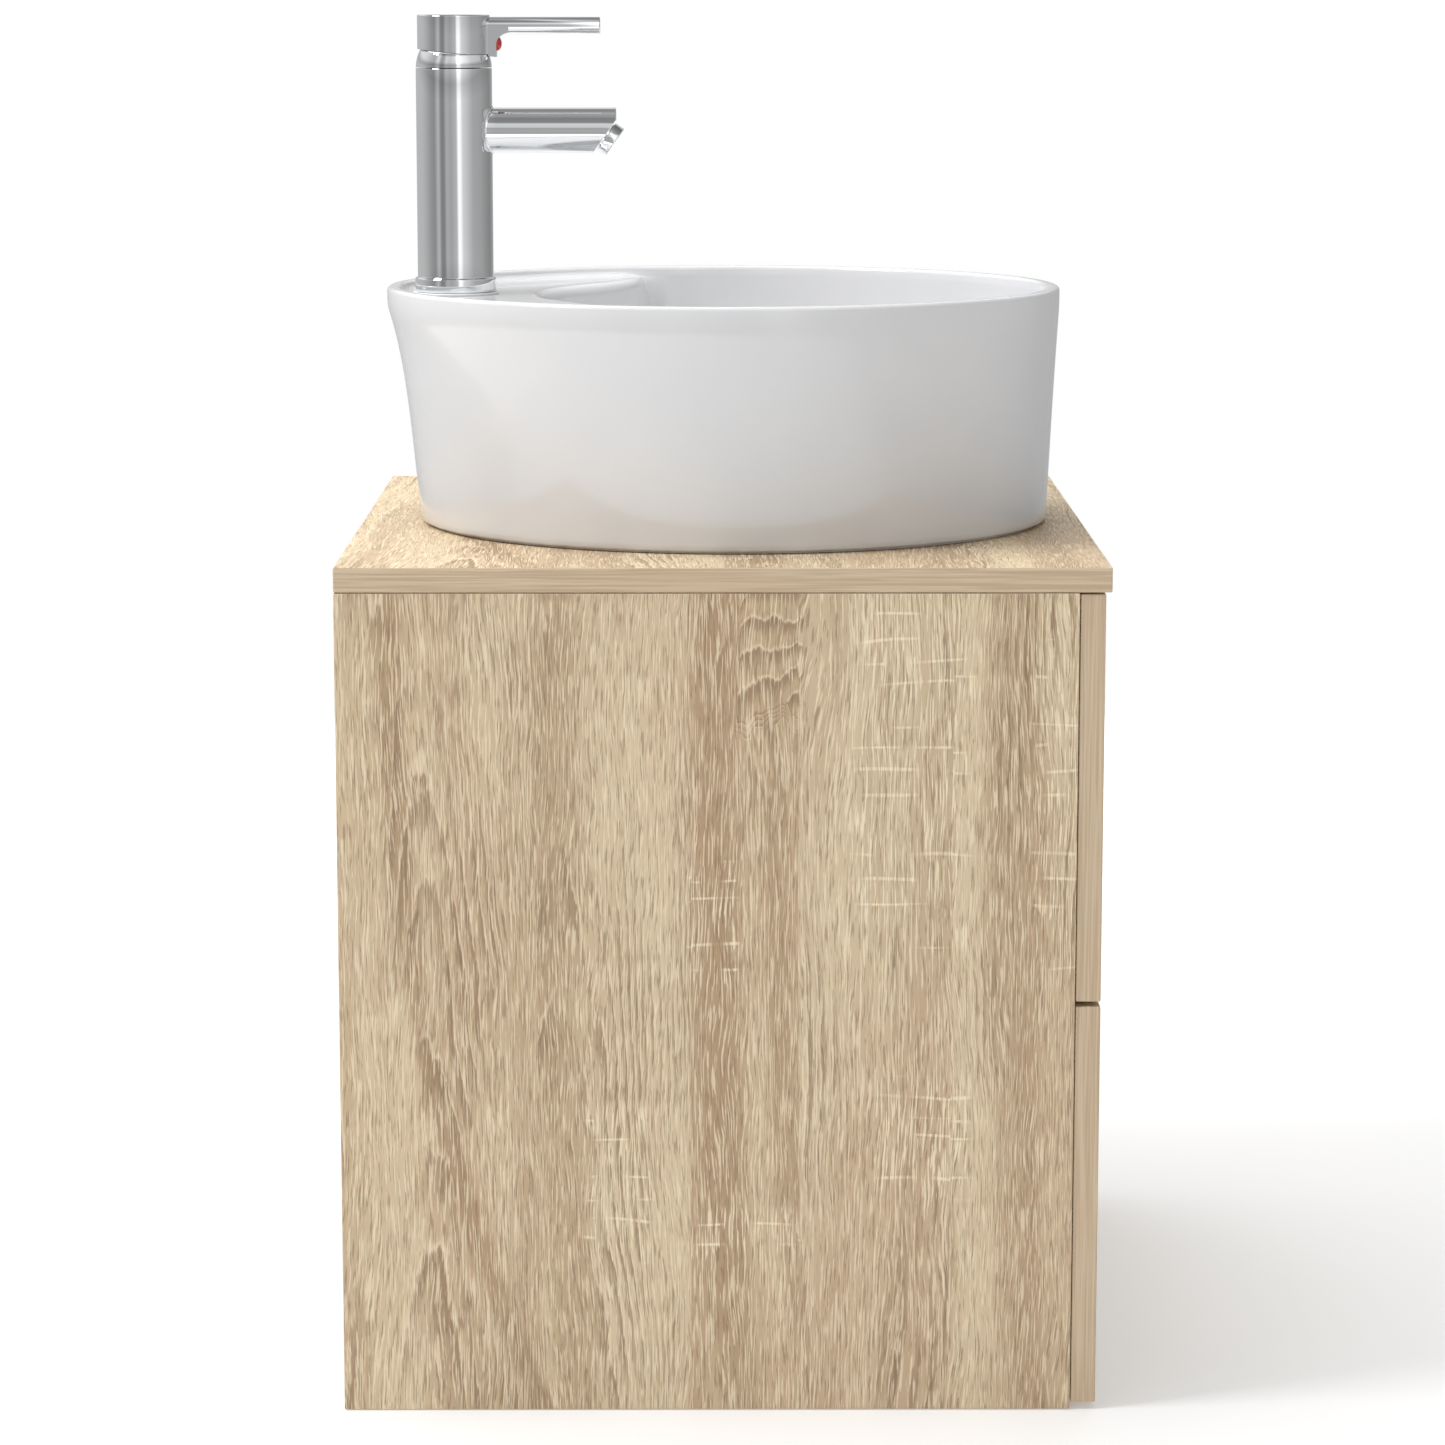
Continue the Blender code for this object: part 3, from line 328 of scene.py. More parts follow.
def bands(shader, u, v, sway):
    """Broad smooth brown streaks that lean over as they go down the plank."""
    below = shader.math("MAXIMUM", shader.math("SUBTRACT", 0.42, v), 0.0)
    below = shader.math("MULTIPLY", below, below)
    total = 0.0
    for middle, half, lean, strength in BANDS:
        where = shader.math("MULTIPLY_ADD", below, lean, u)
        where = shader.math("MULTIPLY_ADD", shader.math("SUBTRACT", sway, 0.5), 0.016, where)
        where = shader.math("ABSOLUTE", shader.math("SUBTRACT", where, middle))
        total = shader.math("MAXIMUM", total, shader.between(where, half, half * 0.35, 0.0, strength))
    return total


def saw_marks(shader, flat, u, v, fibre):
    """Short pale lines across the grain, in rows, inside the decor's patches."""
    wobble = shader.noise(flat, (34.0, 60.0, 1.0), 41.0, detail=2.0)
    patch = 0.0
    for spot in SAW_PATCHES:
        patch = shader.math("MAXIMUM", patch, inside(shader, u, v, spot, wobble))
    lean = shader.noise(flat, (9.0, 30.0, 1.0), 43.0, detail=1.0)
    row = shader.math("DIVIDE", shader.math("MULTIPLY_ADD", lean, 0.016, v), SAW_STEP)
    line = shader.math("ABSOLUTE", shader.math("SUBTRACT", shader.math("FRACT", row), 0.5))
    line = shader.between(line, 0.095, 0.030)
    number = shader.math("FLOOR", row)
    shown = shader.add("ShaderNodeTexWhiteNoise", noise_dimensions="1D", named={"W": number})
    spot = shader.add("ShaderNodeCombineXYZ", shader.math("MULTIPLY", u, 26.0), number, 0.0)
    part = shader.add("ShaderNodeTexNoise", named={"Vector": spot, "Scale": 1.0, "Detail": 1.0})
    line = shader.math("MULTIPLY", line, shader.math("GREATER_THAN", shown, 0.25))
    line = shader.math("MULTIPLY", line, shader.between(part, 0.46, 0.54))
    line = shader.math("MULTIPLY", line, shader.between(fibre, 0.40, 0.54, 0.15, 1.0))
    upright = shader.math("MULTIPLY", shader.between(fibre, 0.53, 0.60), 0.55)
    return shader.math("MULTIPLY", patch, shader.math("MAXIMUM", line, upright))


def ceramic():
    shader = Shader("white_glaze")
    cloud = shader.noise(shader.place, (9.0, 9.0, 9.0), 1.0)
    peel = shader.noise(shader.place, (160.0, 160.0, 160.0), 3.0, detail=1.0)
    tone = shader.mix(shader.between(cloud, 0.3, 0.7), srgb(213, 214, 216), srgb(218, 218, 219))
    shader.bump(peel, 0.04, 0.0004)
    shader.set(Base_Color=tone, Roughness=shader.between(cloud, 0.3, 0.7, 0.10, 0.15))
    shader.set(Coat_Weight=0.4, Coat_Roughness=0.04, IOR=1.5)
    return shader.material


def polished(name, color, low, high):
    """Polished metal whose gloss drifts slightly, as it does with wiping."""
    shader = Shader(name)
    smear = shader.noise(shader.place, (60.0, 60.0, 24.0), 2.0, detail=3.0)
    shader.set(Base_Color=color, Metallic=1.0, Roughness=shader.between(smear, 0.35, 0.75, low, high))
    return shader.material


def plated(name, light, dark, roughness):
    """Rolled and plated sheet, with fine scratches along it."""
    shader = Shader(name)
    scratch = shader.noise(shader.place, (900.0, 30.0, 900.0), 4.0, detail=3.0)
    cloud = shader.noise(shader.place, (70.0, 70.0, 70.0), 6.0)
    color = shader.mix(shader.between(cloud, 0.3, 0.7), dark, light)
    shader.bump(scratch, 0.08, 0.0001)
    shader.set(Base_Color=color, Metallic=1.0)
    shader.set(Roughness=shader.between(scratch, 0.3, 0.7, roughness, roughness + 0.15))
    return shader.material


def moulded(name, light, dark, roughness, grain=0.05):
    """Moulded plastic or rubber with a faint surface texture."""
    shader = Shader(name)
    cloud = shader.noise(shader.place, (30.0, 30.0, 30.0), 5.0)
    texture = shader.noise(shader.place, (1400.0, 1400.0, 1400.0), 7.0, detail=1.0)
    shader.bump(texture, grain, 0.0001)
    shader.set(Base_Color=shader.mix(shader.between(cloud, 0.3, 0.7), dark, light))
    shader.set(Roughness=shader.between(cloud, 0.3, 0.7, roughness, roughness + 0.08))
    return shader.material


def index_colors():
    """Red on the hot side and blue on the cold side."""
    shader = Shader("index_red_and_blue")
    cold = shader.between(shader.split(shader.place)[0], -0.0002, 0.0002)
    cloud = shader.noise(shader.place, (400.0, 400.0, 400.0), 9.0)
    red = shader.mix(shader.between(cloud, 0.3, 0.7), srgb(176, 14, 16), srgb(206, 22, 22))
    shader.set(Base_Color=shader.mix(cold, red, srgb(24, 66, 168)), Roughness=0.18, Coat_Weight=0.5)
    return shader.material


def pale_floor():
    """A pale matt floor with a painted glow, which grows well away from the object so that the floor fades
    to white there.
    """
    shader = Shader("pale_floor")
    cloud = shader.noise(shader.place, (3.0, 3.0, 3.0), 5.0)
    away = shader.add("ShaderNodeVectorMath", shader.place, operation="LENGTH", out="Value")
    shader.set(Base_Color=shader.mix(cloud, srgb(219, 219, 219), srgb(222, 222, 222)), Roughness=0.6)
    # Painted glow: the floor emits light, weakly near the object and more strongly further out.
    shader.set(Emission_Color=(1.0, 1.0, 1.0, 1.0))
    shader.set(Emission_Strength=shader.between(away, 0.7, 2.2, 0.26, 0.75))
    return shader.material


def insert_mesh():
    """The aerator's fine grid: pale wires, with painted shade in the holes between them."""
    shader = Shader("aerator_grid")
    cells = {"Vector": shader.place, "Scale": 900.0}
    grid = shader.add("ShaderNodeTexVoronoi", named=cells, feature="DISTANCE_TO_EDGE")
    wire = shader.between(grid, 0.14, 0.06)
    # Painted shade: the cells between the wires are near black, standing for the shadowed holes of the
    # aerator.
    shader.set(Base_Color=shader.mix(wire, srgb(40, 40, 42), srgb(196, 198, 200)), Roughness=0.3)
    shader.bump(wire, 0.5, 0.0003)
    return shader.material


CHROME = polished("polished_chrome", (0.80, 0.81, 0.82, 1.0), 0.012, 0.035)
STEEL = plated("zinc_plated", srgb(205, 207, 208), srgb(178, 181, 184), 0.28)
BRASS = plated("machined_brass", srgb(214, 178, 104), srgb(190, 150, 84), 0.25)
GLAZE = ceramic()
PLASTIC = moulded("white_moulding", srgb(236, 236, 233), srgb(226, 226, 223), 0.32)
RUBBER = moulded("black_rubber", srgb(44, 44, 45), srgb(34, 34, 35), 0.6, 0.15)
SEAL = moulded("clear_gasket", srgb(236, 238, 238), srgb(224, 227, 228), 0.22, 0.02)
INDEX = index_colors()
GRID = insert_mesh()
FLOOR = pale_floor()


def dress_nodes():
    """Gives every CAD node that stays its material."""
    top = oak("oak_worktop", "Z", "Y", "X", shift=(0.02, 0.31))
    side = oak("oak_side", "X", "Y", "Z")
    front = oak("oak_front", "Y", "Z", "X", shift=(-0.24, 0.30))
    lower = oak("oak_front_lower", "Y", "Z", "X", shift=(-0.09, 0.77))
    flat = oak("oak_flat", "Z", "Y", "X", shift=(-0.03, 0.9))
    rail = oak("oak_rail", "Y", "Z", "X", shift=(-0.40, 0.55))
    box_side = oak("oak_drawer_side", "X", "Z", "Y", shift=(-0.31, 0.2))
    exact = {
        "worktop": top,
        "side_panel_left": side,
        "side_panel_right": side,
        "upper_drawer_front": front,
        "lower_drawer_front": lower,
        "bottom_panel": flat,
        "front_stretcher": flat,
        "back_rail": rail,
    }
    slots = {
        "zinc_plated_steel": STEEL,
        "brass": BRASS,
        "white_plastic": PLASTIC,
        "rubber": RUBBER,
        "clear_seal": SEAL,
        "chrome": CHROME,
        "glazed_ceramic": GLAZE,
        "index_plastic": INDEX,
    }
    finish = {row["node"]: row["material_slot"] for row in frame["record"]["subparts"]}
    for node, obj in frame["nodes"].items():
        material = exact.get(node) or slots.get(finish[node])
        if material is None and "_side_" in node:
            material = box_side
        elif material is None and "_bottom" in node:
            material = flat
        elif material is None:
            material = rail
        obj.data.materials.clear()
        obj.data.materials.append(material)


# Shapes


def new_piece(name, shape, material, sharp=35.0):
    mesh = bpy.data.meshes.new(name)
    bmesh.ops.recalc_face_normals(shape, faces=shape.faces)
    shape.to_mesh(mesh)
    shape.free()
    mesh.materials.append(material)
    mesh.shade_smooth()
    mesh.set_sharp_from_angle(angle=math.radians(sharp))
    obj = bpy.data.objects.new(name, mesh)
    bpy.context.scene.collection.objects.link(obj)
    return obj


def stand_for(piece, node, body):
    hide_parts(node)
    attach(piece, body)


def arc(centre, radius, first, last, steps):
    turn = [math.radians(first + (last - first) * i / steps) for i in range(steps + 1)]
    return [(centre[0] + radius * math.cos(a), centre[1] + radius * math.sin(a)) for a in turn]


def skin(shape, rings, closed=True):
    """Faces between rings of points, which all have the same count."""
    loops = [[shape.verts.new(point) for point in ring] for ring in rings]
    count = len(loops[0])
    for lower, upper in zip(loops, loops[1:]):
        for i in range(count if closed else count - 1):
            j = (i + 1) % count
            shape.faces.new((lower[i], lower[j], upper[j], upper[i]))
    return loops


def lathe(name, profile, place, material, direction=(0, 0, 1), segments=96, sharp=35.0):
    """A closed profile of (radius, height) points turned about an axis through place."""
    turn = Vector(direction).to_track_quat("Z", "Y")
    place = Vector(place)
    shape = bmesh.new()
    angles = [2 * math.pi * i / segments for i in range(segments)]
    loops = []
    for radius, height in profile:
        if radius < 1e-7:
            loops.append([shape.verts.new(place + turn @ Vector((0, 0, height)))])
            continue
        ring = [Vector((radius * math.cos(a), radius * math.sin(a), height)) for a in angles]
        loops.append([shape.verts.new(place + turn @ point) for point in ring])
    pairs = list(zip(loops, loops[1:]))
    if len(loops[0]) > 1 and len(loops[-1]) > 1:
        pairs.append((loops[-1], loops[0]))
    for one, two in pairs:
        for i in range(segments):
            j = (i + 1) % segments
            if len(one) == 1 and len(two) == 1:
                continue
            if len(one) == 1:
                shape.faces.new((one[0], two[j], two[i]))
            elif len(two) == 1:
                shape.faces.new((one[i], one[j], two[0]))
            else:
                shape.faces.new((one[i], one[j], two[j], two[i]))
    return new_piece(name, shape, material, sharp)


# Basin

BASIN_SEGMENTS = 160
BASIN_ANGLES = [2 * math.pi * i / BASIN_SEGMENTS for i in range(BASIN_SEGMENTS)]
BASIN_CENTRE = Vector((0, -0.0035))
WALL_STEPS = 26
RIM_THICKNESS = 0.0085
RIM_EDGE = 0.0026
ROUND_STEPS = 5
COVE = 0.0045  # how high the hollow is where the rim's inside meets the deck
COVE_REACH = 1.3  # its width as a multiple of that
DECK_EDGE_Y = 0.115
DECK_EDGE_R = 0.27
DECK_CORNER = 0.0075
DECK_FADE = 0.032  # the width at which the deck has its full shape
DECK_STEPS = 8
CORNER_STEPS = 6
WASTE_SEAT_R = 0.0325
WASTE_HOLE_R = 0.0225


def foot_outline(angle):
    return Vector((0.1915 * math.cos(angle), -0.0077 + 0.2008 * math.sin(angle)))


def rim_outline(angle):
    """The rim in plan: nearly round, drawn out a little to the lip behind the mixer."""
    bulge = 0.0050 * max(0.0, math.sin(angle)) ** 3
    return Vector((0.2058 * math.cos(angle), BASIN_CENTRE.y + (0.2120 + bulge) * math.sin(angle)))


def flare(angle, share):
    """How far the wall has moved from the foot's outline to the rim's at a share of its height."""
    rise = min(1.0, share / 0.92)
    behind = max(0.0, math.sin(angle)) ** 2
    curl = 0.25 + 0.10 * behind
    return (1 - curl) * rise + curl * rise ** (2 + 2.5 * behind)


def deck_width(edge):
    """How wide the deck is at a point of the rim, on the way to the waste. It runs out smoothly."""
    behind = edge.y - (DECK_EDGE_Y - edge.x**2 / (2 * DECK_EDGE_R))
    slope = (edge.y - WASTE_Y) / (edge - Vector((0, WASTE_Y))).length
    width = behind / max(0.35, slope)
    return 0.5 * (width + math.hypot(width, 0.012))


def inset(point, distance):
    return point + (BASIN_CENTRE - point).normalized() * distance


def level_ring(points, z):
    """Points of an outline at one height, or each at its own."""
    heights = z if isinstance(z, list) else [z] * len(points)
    return [(p.x, p.y, height) for p, height in zip(points, heights)]


def basin_rings():
    """Rings from the foot's inner edge, up the outside, over the rim, over the deck and down the bowl."""
    rim = [rim_outline(a) for a in BASIN_ANGLES]
    rings = wall_rings(rim) + rim_rings(rim) + deck_rings(rim)
    return rings + bowl_rings(rings[-1], Vector((0, WASTE_Y)), WASTE[1].z - 0.0006)


def wall_rings(rim):
    """The foot's recessed edge, then the flared outside up to where the rim rounds over."""
    foot_z = BASIN[0].z
    height = BASIN[1].z - foot_z
    rings = []
    for distance, lift in ((0.013, 0.0), (0.0038, 0.0), (0.0034, 0.0014), (0.0007, 0.0016), (0.0, 0.0026)):
        rings.append(level_ring([inset(foot_outline(a), distance) for a in BASIN_ANGLES], foot_z + lift))
    for i in range(1, WALL_STEPS + 1):
        share = (height - RIM_EDGE) / height * i / WALL_STEPS
        points = []
        for a, top in zip(BASIN_ANGLES, rim):
            low = foot_outline(a)
            points.append(low + (top - low) * flare(a, share))
        rings.append(level_ring(points, foot_z + height * share))
    return rings


def rim_rings(rim):
    """The rounded rim, from its outside over to its inside."""
    middle_z = BASIN[1].z - RIM_EDGE
    lip = RIM_THICKNESS - 2 * RIM_EDGE
    turns = [math.pi / 2 * i / ROUND_STEPS for i in range(1, ROUND_STEPS + 1)]
    rings = []
    for turn in turns:
        back = RIM_EDGE * (1 - math.cos(turn))
        rings.append(level_ring([inset(p, back) for p in rim], middle_z + RIM_EDGE * math.sin(turn)))
    for turn in turns:
        back = RIM_EDGE + lip + RIM_EDGE * math.sin(turn)
        rings.append(level_ring([inset(p, back) for p in rim], middle_z + RIM_EDGE * math.cos(turn)))
    return rings


def deck_rings(rim):
    """The cove inside the rim, the level deck and its rounded edge, which fade out where the deck ends."""
    edge = [inset(p, RIM_THICKNESS + 0.0004) for p in rim]
    waste = Vector((0, WASTE_Y))
    widths = [deck_width(p) for p in edge]
    shares = [min(1.0, width / DECK_FADE) for width in widths]
    soft = [share * share * (3 - 2 * share) for share in shares]
    corner = [DECK_CORNER * s for s in soft]
    cove = [COVE * s for s in soft]
    starts = [COVE_REACH * c for c in cove]
    ends = [max(start, width - c) for start, width, c in zip(starts, widths, corner)]
    deck_z = DECK_Z + 0.0001
    count = range(len(edge))

    def along(k, distance):
        """A point this far in from the rim's inner edge, on the way to the waste."""
        return edge[k] + (waste - edge[k]).normalized() * distance

    rings = []
    for i in range(1, ROUND_STEPS + 1):
        turn = math.pi / 2 * i / ROUND_STEPS
        points = [along(k, starts[k] * (1 - math.cos(turn))) for k in count]
        z = [deck_z + cove[k] * 0.7 * (1 - math.sin(turn)) - (1 - soft[k]) * 0.0006 * i for k in count]
        rings.append(level_ring(points, z))
    for i in range(1, DECK_STEPS + 1):
        points = [along(k, starts[k] + (ends[k] - starts[k]) * i / DECK_STEPS) for k in count]
        z = [deck_z - (1 - soft[k]) * (0.003 + 0.0032 * i) for k in count]
        rings.append(level_ring(points, z))
    bowl_top = z
    for i in range(1, CORNER_STEPS + 1):
        turn = math.pi / 2 * i / CORNER_STEPS
        points = [along(k, ends[k] + corner[k] * math.sin(turn)) for k in count]
        extra = [(1 - soft[k]) * 0.001 * i / CORNER_STEPS for k in count]
        z = [bowl_top[k] - (corner[k] + extra[k]) * (1 - math.cos(turn)) for k in count]
        rings.append(level_ring(points, z))
    return rings


def bowl_rings(last, waste, floor_z):
    """Steep walls that lean in slightly, then turn in to the floor and the seat of the waste."""
    top = [(Vector((x, y)), z) for x, y, z in last]
    rings = []
    wall_steps = 9
    turn_share = 0.46
    for i in range(1, wall_steps + 1):
        ring = []
        for point, z in top:
            depth = (z - floor_z) * (1 - turn_share)
            share = i / wall_steps
            moved = point + (waste - point).normalized() * 0.007 * share**1.5
            ring.append((moved.x, moved.y, z - depth * share))
        rings.append(ring)
    low = rings[-1]
    seat = WASTE_SEAT_R
    turn_steps = 18
    for i in range(1, turn_steps + 1):
        ring = []
        for x, y, z in low:
            reach = (Vector((x, y)) - waste).length
            end = math.acos(min(1.0, seat / reach))
            turn = end * i / turn_steps
            share = math.cos(turn)
            drop = (z - floor_z) * math.sin(turn) ** 0.9
            point = waste + (Vector((x, y)) - waste) * share
            ring.append((point.x, point.y, z - drop))
        rings.append(ring)
    angles = [math.atan2(y - waste.y, x - waste.x) for x, y, _ in rings[-1]]
    hole = WASTE_HOLE_R
    for radius, z in (
        (seat, floor_z - 0.0006),
        (seat - 0.0008, floor_z - 0.0019),
        (hole + 0.0006, floor_z - 0.0020),
        (hole, floor_z - 0.0026),
        (hole, floor_z - 0.0105),
        (hole + 0.02, floor_z - 0.0110),
    ):
        rings.append([(radius * math.cos(a), waste.y + radius * math.sin(a), z) for a in angles])
    return rings


def basin():
    shape = bmesh.new()
    loops = skin(shape, basin_rings())
    first = loops[0]
    last = loops[-1]
    inner = [shape.verts.new((v.co.x * 0.99, v.co.y * 0.99, BASIN[0].z + 0.0098)) for v in first]
    count = len(first)
    for one, two in ((inner, first), (last, inner)):
        for i in range(count):
            j = (i + 1) % count
            shape.faces.new((one[i], one[j], two[j], two[i]))
    piece = new_piece("glazed_basin", shape, GLAZE, sharp=60.0)
    stand_for(piece, "basin", "cabinet")


# Mixer

SPOUT_SEGMENTS = 96
SPOUT_FILLET = 0.0015
FILLET_STEPS = 7
BAR_STEPS = 14
OUTLET_TILT = math.radians(35.5)
AERATOR_OUT = 0.0075
AERATOR_R = 0.01025
DISH = (0.0, 0.25, 0.5, 0.75, 0.9, 1.0)  # shares of the grid's radius
HUB_FOOT = 0.004  # the hub's underside above the pivot, before the slanted cut
NOSE_REACH = 0.0273
NOSE_HALF = 0.0068
NOSE_FILLET = 0.0078
LEVER_RISE = 0.0267
LEVER_R = 0.00535
LEVER_ROOT = 0.004  # where the lever starts, in front of the pivot
HOLLOW_R = 0.0246
CUT_SIZE = 0.08
POCKET_DEPTH = 0.01
PLAY = 0.0003


def mixer():
    flange_r = (COLUMN[1].x - COLUMN[0].x) / 2
    column_r = (BONNET[1].x - BONNET[0].x) / 2 + 0.00005
    low = COLUMN[0].z
    flange_top = DECK_Z + 0.0107
    top = COLUMN_TOP
    profile = [(0, low), (flange_r - 0.0004, low)]
    profile += arc((flange_r - 0.0010, low + 0.0014), 0.0010, 0, 1, 1)
    profile += arc((flange_r - 0.0012, flange_top - 0.0012), 0.0012, 0, 90, 6)
    profile += arc((column_r + 0.0006, flange_top + 0.0006), 0.0006, 270, 180, 4)
    profile += [(column_r, flange_top + 0.03), (column_r, top - 0.03)]
    profile += arc((column_r - 0.0004, top - 0.0004), 0.0004, 0, 90, 3)
    profile += [(column_r - 0.0065, top), (column_r - 0.0065, top - 0.034), (0, top - 0.034)]
    body = lathe("mixer_column", profile, (0, TAP_Y, 0), CHROME, segments=128)
    stand_for(body, "mixer_body", "cabinet")

    seal_r = (GASKET[1].x - GASKET[0].x) / 2
    ring = [(0.0165, GASKET[0].z), (seal_r - 0.0004, GASKET[0].z)]
    ring += arc((seal_r - 0.0005, (GASKET[0].z + GASKET[1].z) / 2), 0.0005, -60, 60, 4)
    ring += [(seal_r - 0.0006, GASKET[1].z), (0.0165, GASKET[1].z)]
    seal = lathe("flange_seal", ring, (0, TAP_Y, 0), SEAL)
    stand_for(seal, "mixer_gasket", "cabinet")

    radius = (BONNET[1].x - BONNET[0].x) / 2
    rise = BONNET[1].z - PIVOT.z
    high = math.degrees(math.asin(rise / radius))
    inner = radius - 0.002
    inner_high = math.degrees(math.asin(rise / inner))
    dome = arc((0, 0), radius, 1.2, high - 2.0, 16)
    dome += arc((0, 0), inner, inner_high, 1.4, 12)
    bonnet = lathe("mixer_dome", dome, PIVOT, CHROME, segments=128)
    stand_for(bonnet, "bonnet", "cabinet")
    spout(column_r)


def spout(column_r):
    """A round bar that flows out of the column and is cut away at its end for the aerator."""
    radius = (SPOUT[1].x - SPOUT[0].x) / 2
    axis_z = (SPOUT[0].z + SPOUT[1].z) / 2
    blunt_y = SPOUT[0].y
    out = Vector((0, -math.cos(OUTLET_TILT), -math.sin(OUTLET_TILT)))
    seat = Vector((0, blunt_y + 0.0008, axis_z - 0.0077)) - AERATOR_OUT * out

    def end_y(z):
        """The cut end: upright above, and square to the aerator's axis below."""
        slant = seat.y - (z - seat.z) * out.z / out.y
        return max(blunt_y, slant)

    shape = bmesh.new()
    loops = skin(shape, spout_rings(column_r, radius, axis_z, end_y))
    shape.faces.new(loops[-1])
    shape.faces.new(loops[0])
    bar = new_piece("mixer_spout", shape, CHROME)
    bevel = bar.modifiers.new("edges", "BEVEL")
    bevel.width = 0.0011
    bevel.segments = 4
    bevel.limit_method = "ANGLE"
    bevel.angle_limit = math.radians(30)
    bevel.harden_normals = True
    stand_for(bar, "spout", "cabinet")
    aerator(seat, out)


def spout_rings(column_r, radius, axis_z, end_y):
    """Rings from the fillet against the column, along the bar and in over its cut end."""
    angles = [2 * math.pi * i / SPOUT_SEGMENTS for i in range(SPOUT_SEGMENTS)]
    rings = []
    for i in range(FILLET_STEPS + 1):
        turn = math.pi / 2 * i / FILLET_STEPS
        grow = SPOUT_FILLET * (1 - math.sin(turn))
        away = SPOUT_FILLET * (1 - math.cos(turn))
        ring = []
        for a in angles:
            x = (radius + grow) * math.cos(a)
            z = axis_z + (radius + grow) * math.sin(a)
            root = TAP_Y - math.sqrt(column_r**2 - x * x) - 0.0001
            ring.append((x, root - away, z))
        rings.append(ring)
    starts = [y for _, y, _ in rings[-1]]
    for i in range(1, BAR_STEPS + 1):
        ring = []
        for a, start in zip(angles, starts):
            z = axis_z + radius * math.sin(a)
            ring.append((radius * math.cos(a), start + (end_y(z) - start) * i / BAR_STEPS, z))
        rings.append(ring)
    for scale in (0.82, 0.62, 0.40, 0.18):
        ring = []
        for a in angles:
            z = axis_z + radius * scale * math.sin(a)
            ring.append((radius * scale * math.cos(a), end_y(z), z))
        rings.append(ring)
    return rings


def aerator(seat, out):
    """The aerator's shell on its seat in the spout, and the grid inside it."""
    r = AERATOR_R
    profile = [(0, 0.0002), (r - 0.0012, 0.0002), (r - 0.0012, 0.0010), (r - 0.0004, 0.0010)]
    profile += arc((r - 0.0004, 0.0014), 0.0004, -90, 0, 3)
    profile += arc((r - 0.0006, AERATOR_OUT - 0.0006), 0.0006, 0, 90, 4)
    profile += arc((r - 0.0022, AERATOR_OUT - 0.0004), 0.0004, 90, 180, 3)
    profile += [(r - 0.0026, AERATOR_OUT - 0.0024), (0, AERATOR_OUT - 0.0024)]
    ring = lathe("aerator_shell", profile, seat, CHROME, direction=out, segments=72)
    stand_for(ring, "aerator", "cabinet")
    edge = r - 0.0027
    face = [(edge * share, AERATOR_OUT - 0.0022 + 0.0007 * share**2) for share in DISH]
    face += [(edge * share, AERATOR_OUT - 0.0023 + 0.0006 * share**2) for share in reversed(DISH)]
    grid = lathe("aerator_mesh", face, seat, GRID, direction=out, segments=48)
    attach(grid, "cabinet")


def cutter(shape, name):
    mesh = bpy.data.meshes.new(name)
    bmesh.ops.recalc_face_normals(shape, faces=shape.faces)
    shape.to_mesh(mesh)
    shape.free()
    obj = bpy.data.objects.new(name, mesh)
    bpy.context.scene.collection.objects.link(obj)
    return obj


def combine(piece, other, operation):
    """Applies a Boolean and removes the other object."""
    boolean = piece.modifiers.new(operation, "BOOLEAN")
    boolean.operation = operation
    boolean.object = other
    boolean.solver = "MANIFOLD"
    bpy.context.view_layer.update()
    graph = bpy.context.evaluated_depsgraph_get()
    mesh = bpy.data.meshes.new_from_object(piece.evaluated_get(graph))
    piece.modifiers.clear()
    piece.data = mesh
    bpy.data.objects.remove(other)


def block(name, low, high):
    shape = bmesh.new()
    bmesh.ops.create_cube(shape, size=1.0)
    bmesh.ops.scale(shape, vec=Vector(high) - Vector(low), verts=shape.verts)
    bmesh.ops.translate(shape, vec=(Vector(low) + Vector(high)) / 2, verts=shape.verts)
    return cutter(shape, name)


def handle():
    """The hub, its nose with the index button, and the pin lever that grows out of it in a fillet."""
    top = HANDLE[1].z
    radius = (HANDLE[1].x - HANDLE[0].x) / 2
    profile = [(0, top)] + arc((radius - 0.0009, top - 0.0009), 0.0009, 90, 0, 5)
    profile += [(radius, PIVOT.z + HUB_FOOT), (0, PIVOT.z + HUB_FOOT)]
    hub = lathe("handle_hub", profile, (0, PIVOT.y, 0), CHROME, segments=128)
    combine(hub, nose(radius), "UNION")
    combine(hub, lever(), "UNION")
    combine(hub, hollow(), "DIFFERENCE")
    combine(hub, slanted_cut(radius), "DIFFERENCE")
    combine(hub, button_pocket(), "DIFFERENCE")
    combine(hub, stem_socket(), "DIFFERENCE")
    hub.data.materials.clear()
    hub.data.materials.append(CHROME)
    hub.data.shade_smooth()
    hub.data.set_sharp_from_angle(angle=math.radians(30))
    stand_for(hub, "handle", "mixer_handle")
    index_dot()


def nose(radius):
    """The block below the lever's root, with a concave fillet up to it."""
    front = PIVOT.y - NOSE_REACH
    low = PIVOT.z + HUB_FOOT + 0.001
    lever_z = PIVOT.z + LEVER_RISE
    under = lever_z - LEVER_R * 0.86
    outline = [(PIVOT.y - radius + 0.006, low), (front, low), (front, under - NOSE_FILLET)]
    outline += arc((front - NOSE_FILLET, under - NOSE_FILLET), NOSE_FILLET, 0, 90, 10)[1:]
    outline += [(front - NOSE_FILLET, lever_z), (PIVOT.y - radius + 0.006, lever_z)]
    shape = bmesh.new()
    sides = [[shape.verts.new((x, y, z)) for y, z in outline] for x in (-NOSE_HALF, NOSE_HALF)]
    count = len(outline)
    for i in range(count):
        j = (i + 1) % count
        shape.faces.new((sides[0][i], sides[0][j], sides[1][j], sides[1][i]))
    shape.faces.new(sides[0])
    shape.faces.new(sides[1])
    return cutter(shape, "nose")


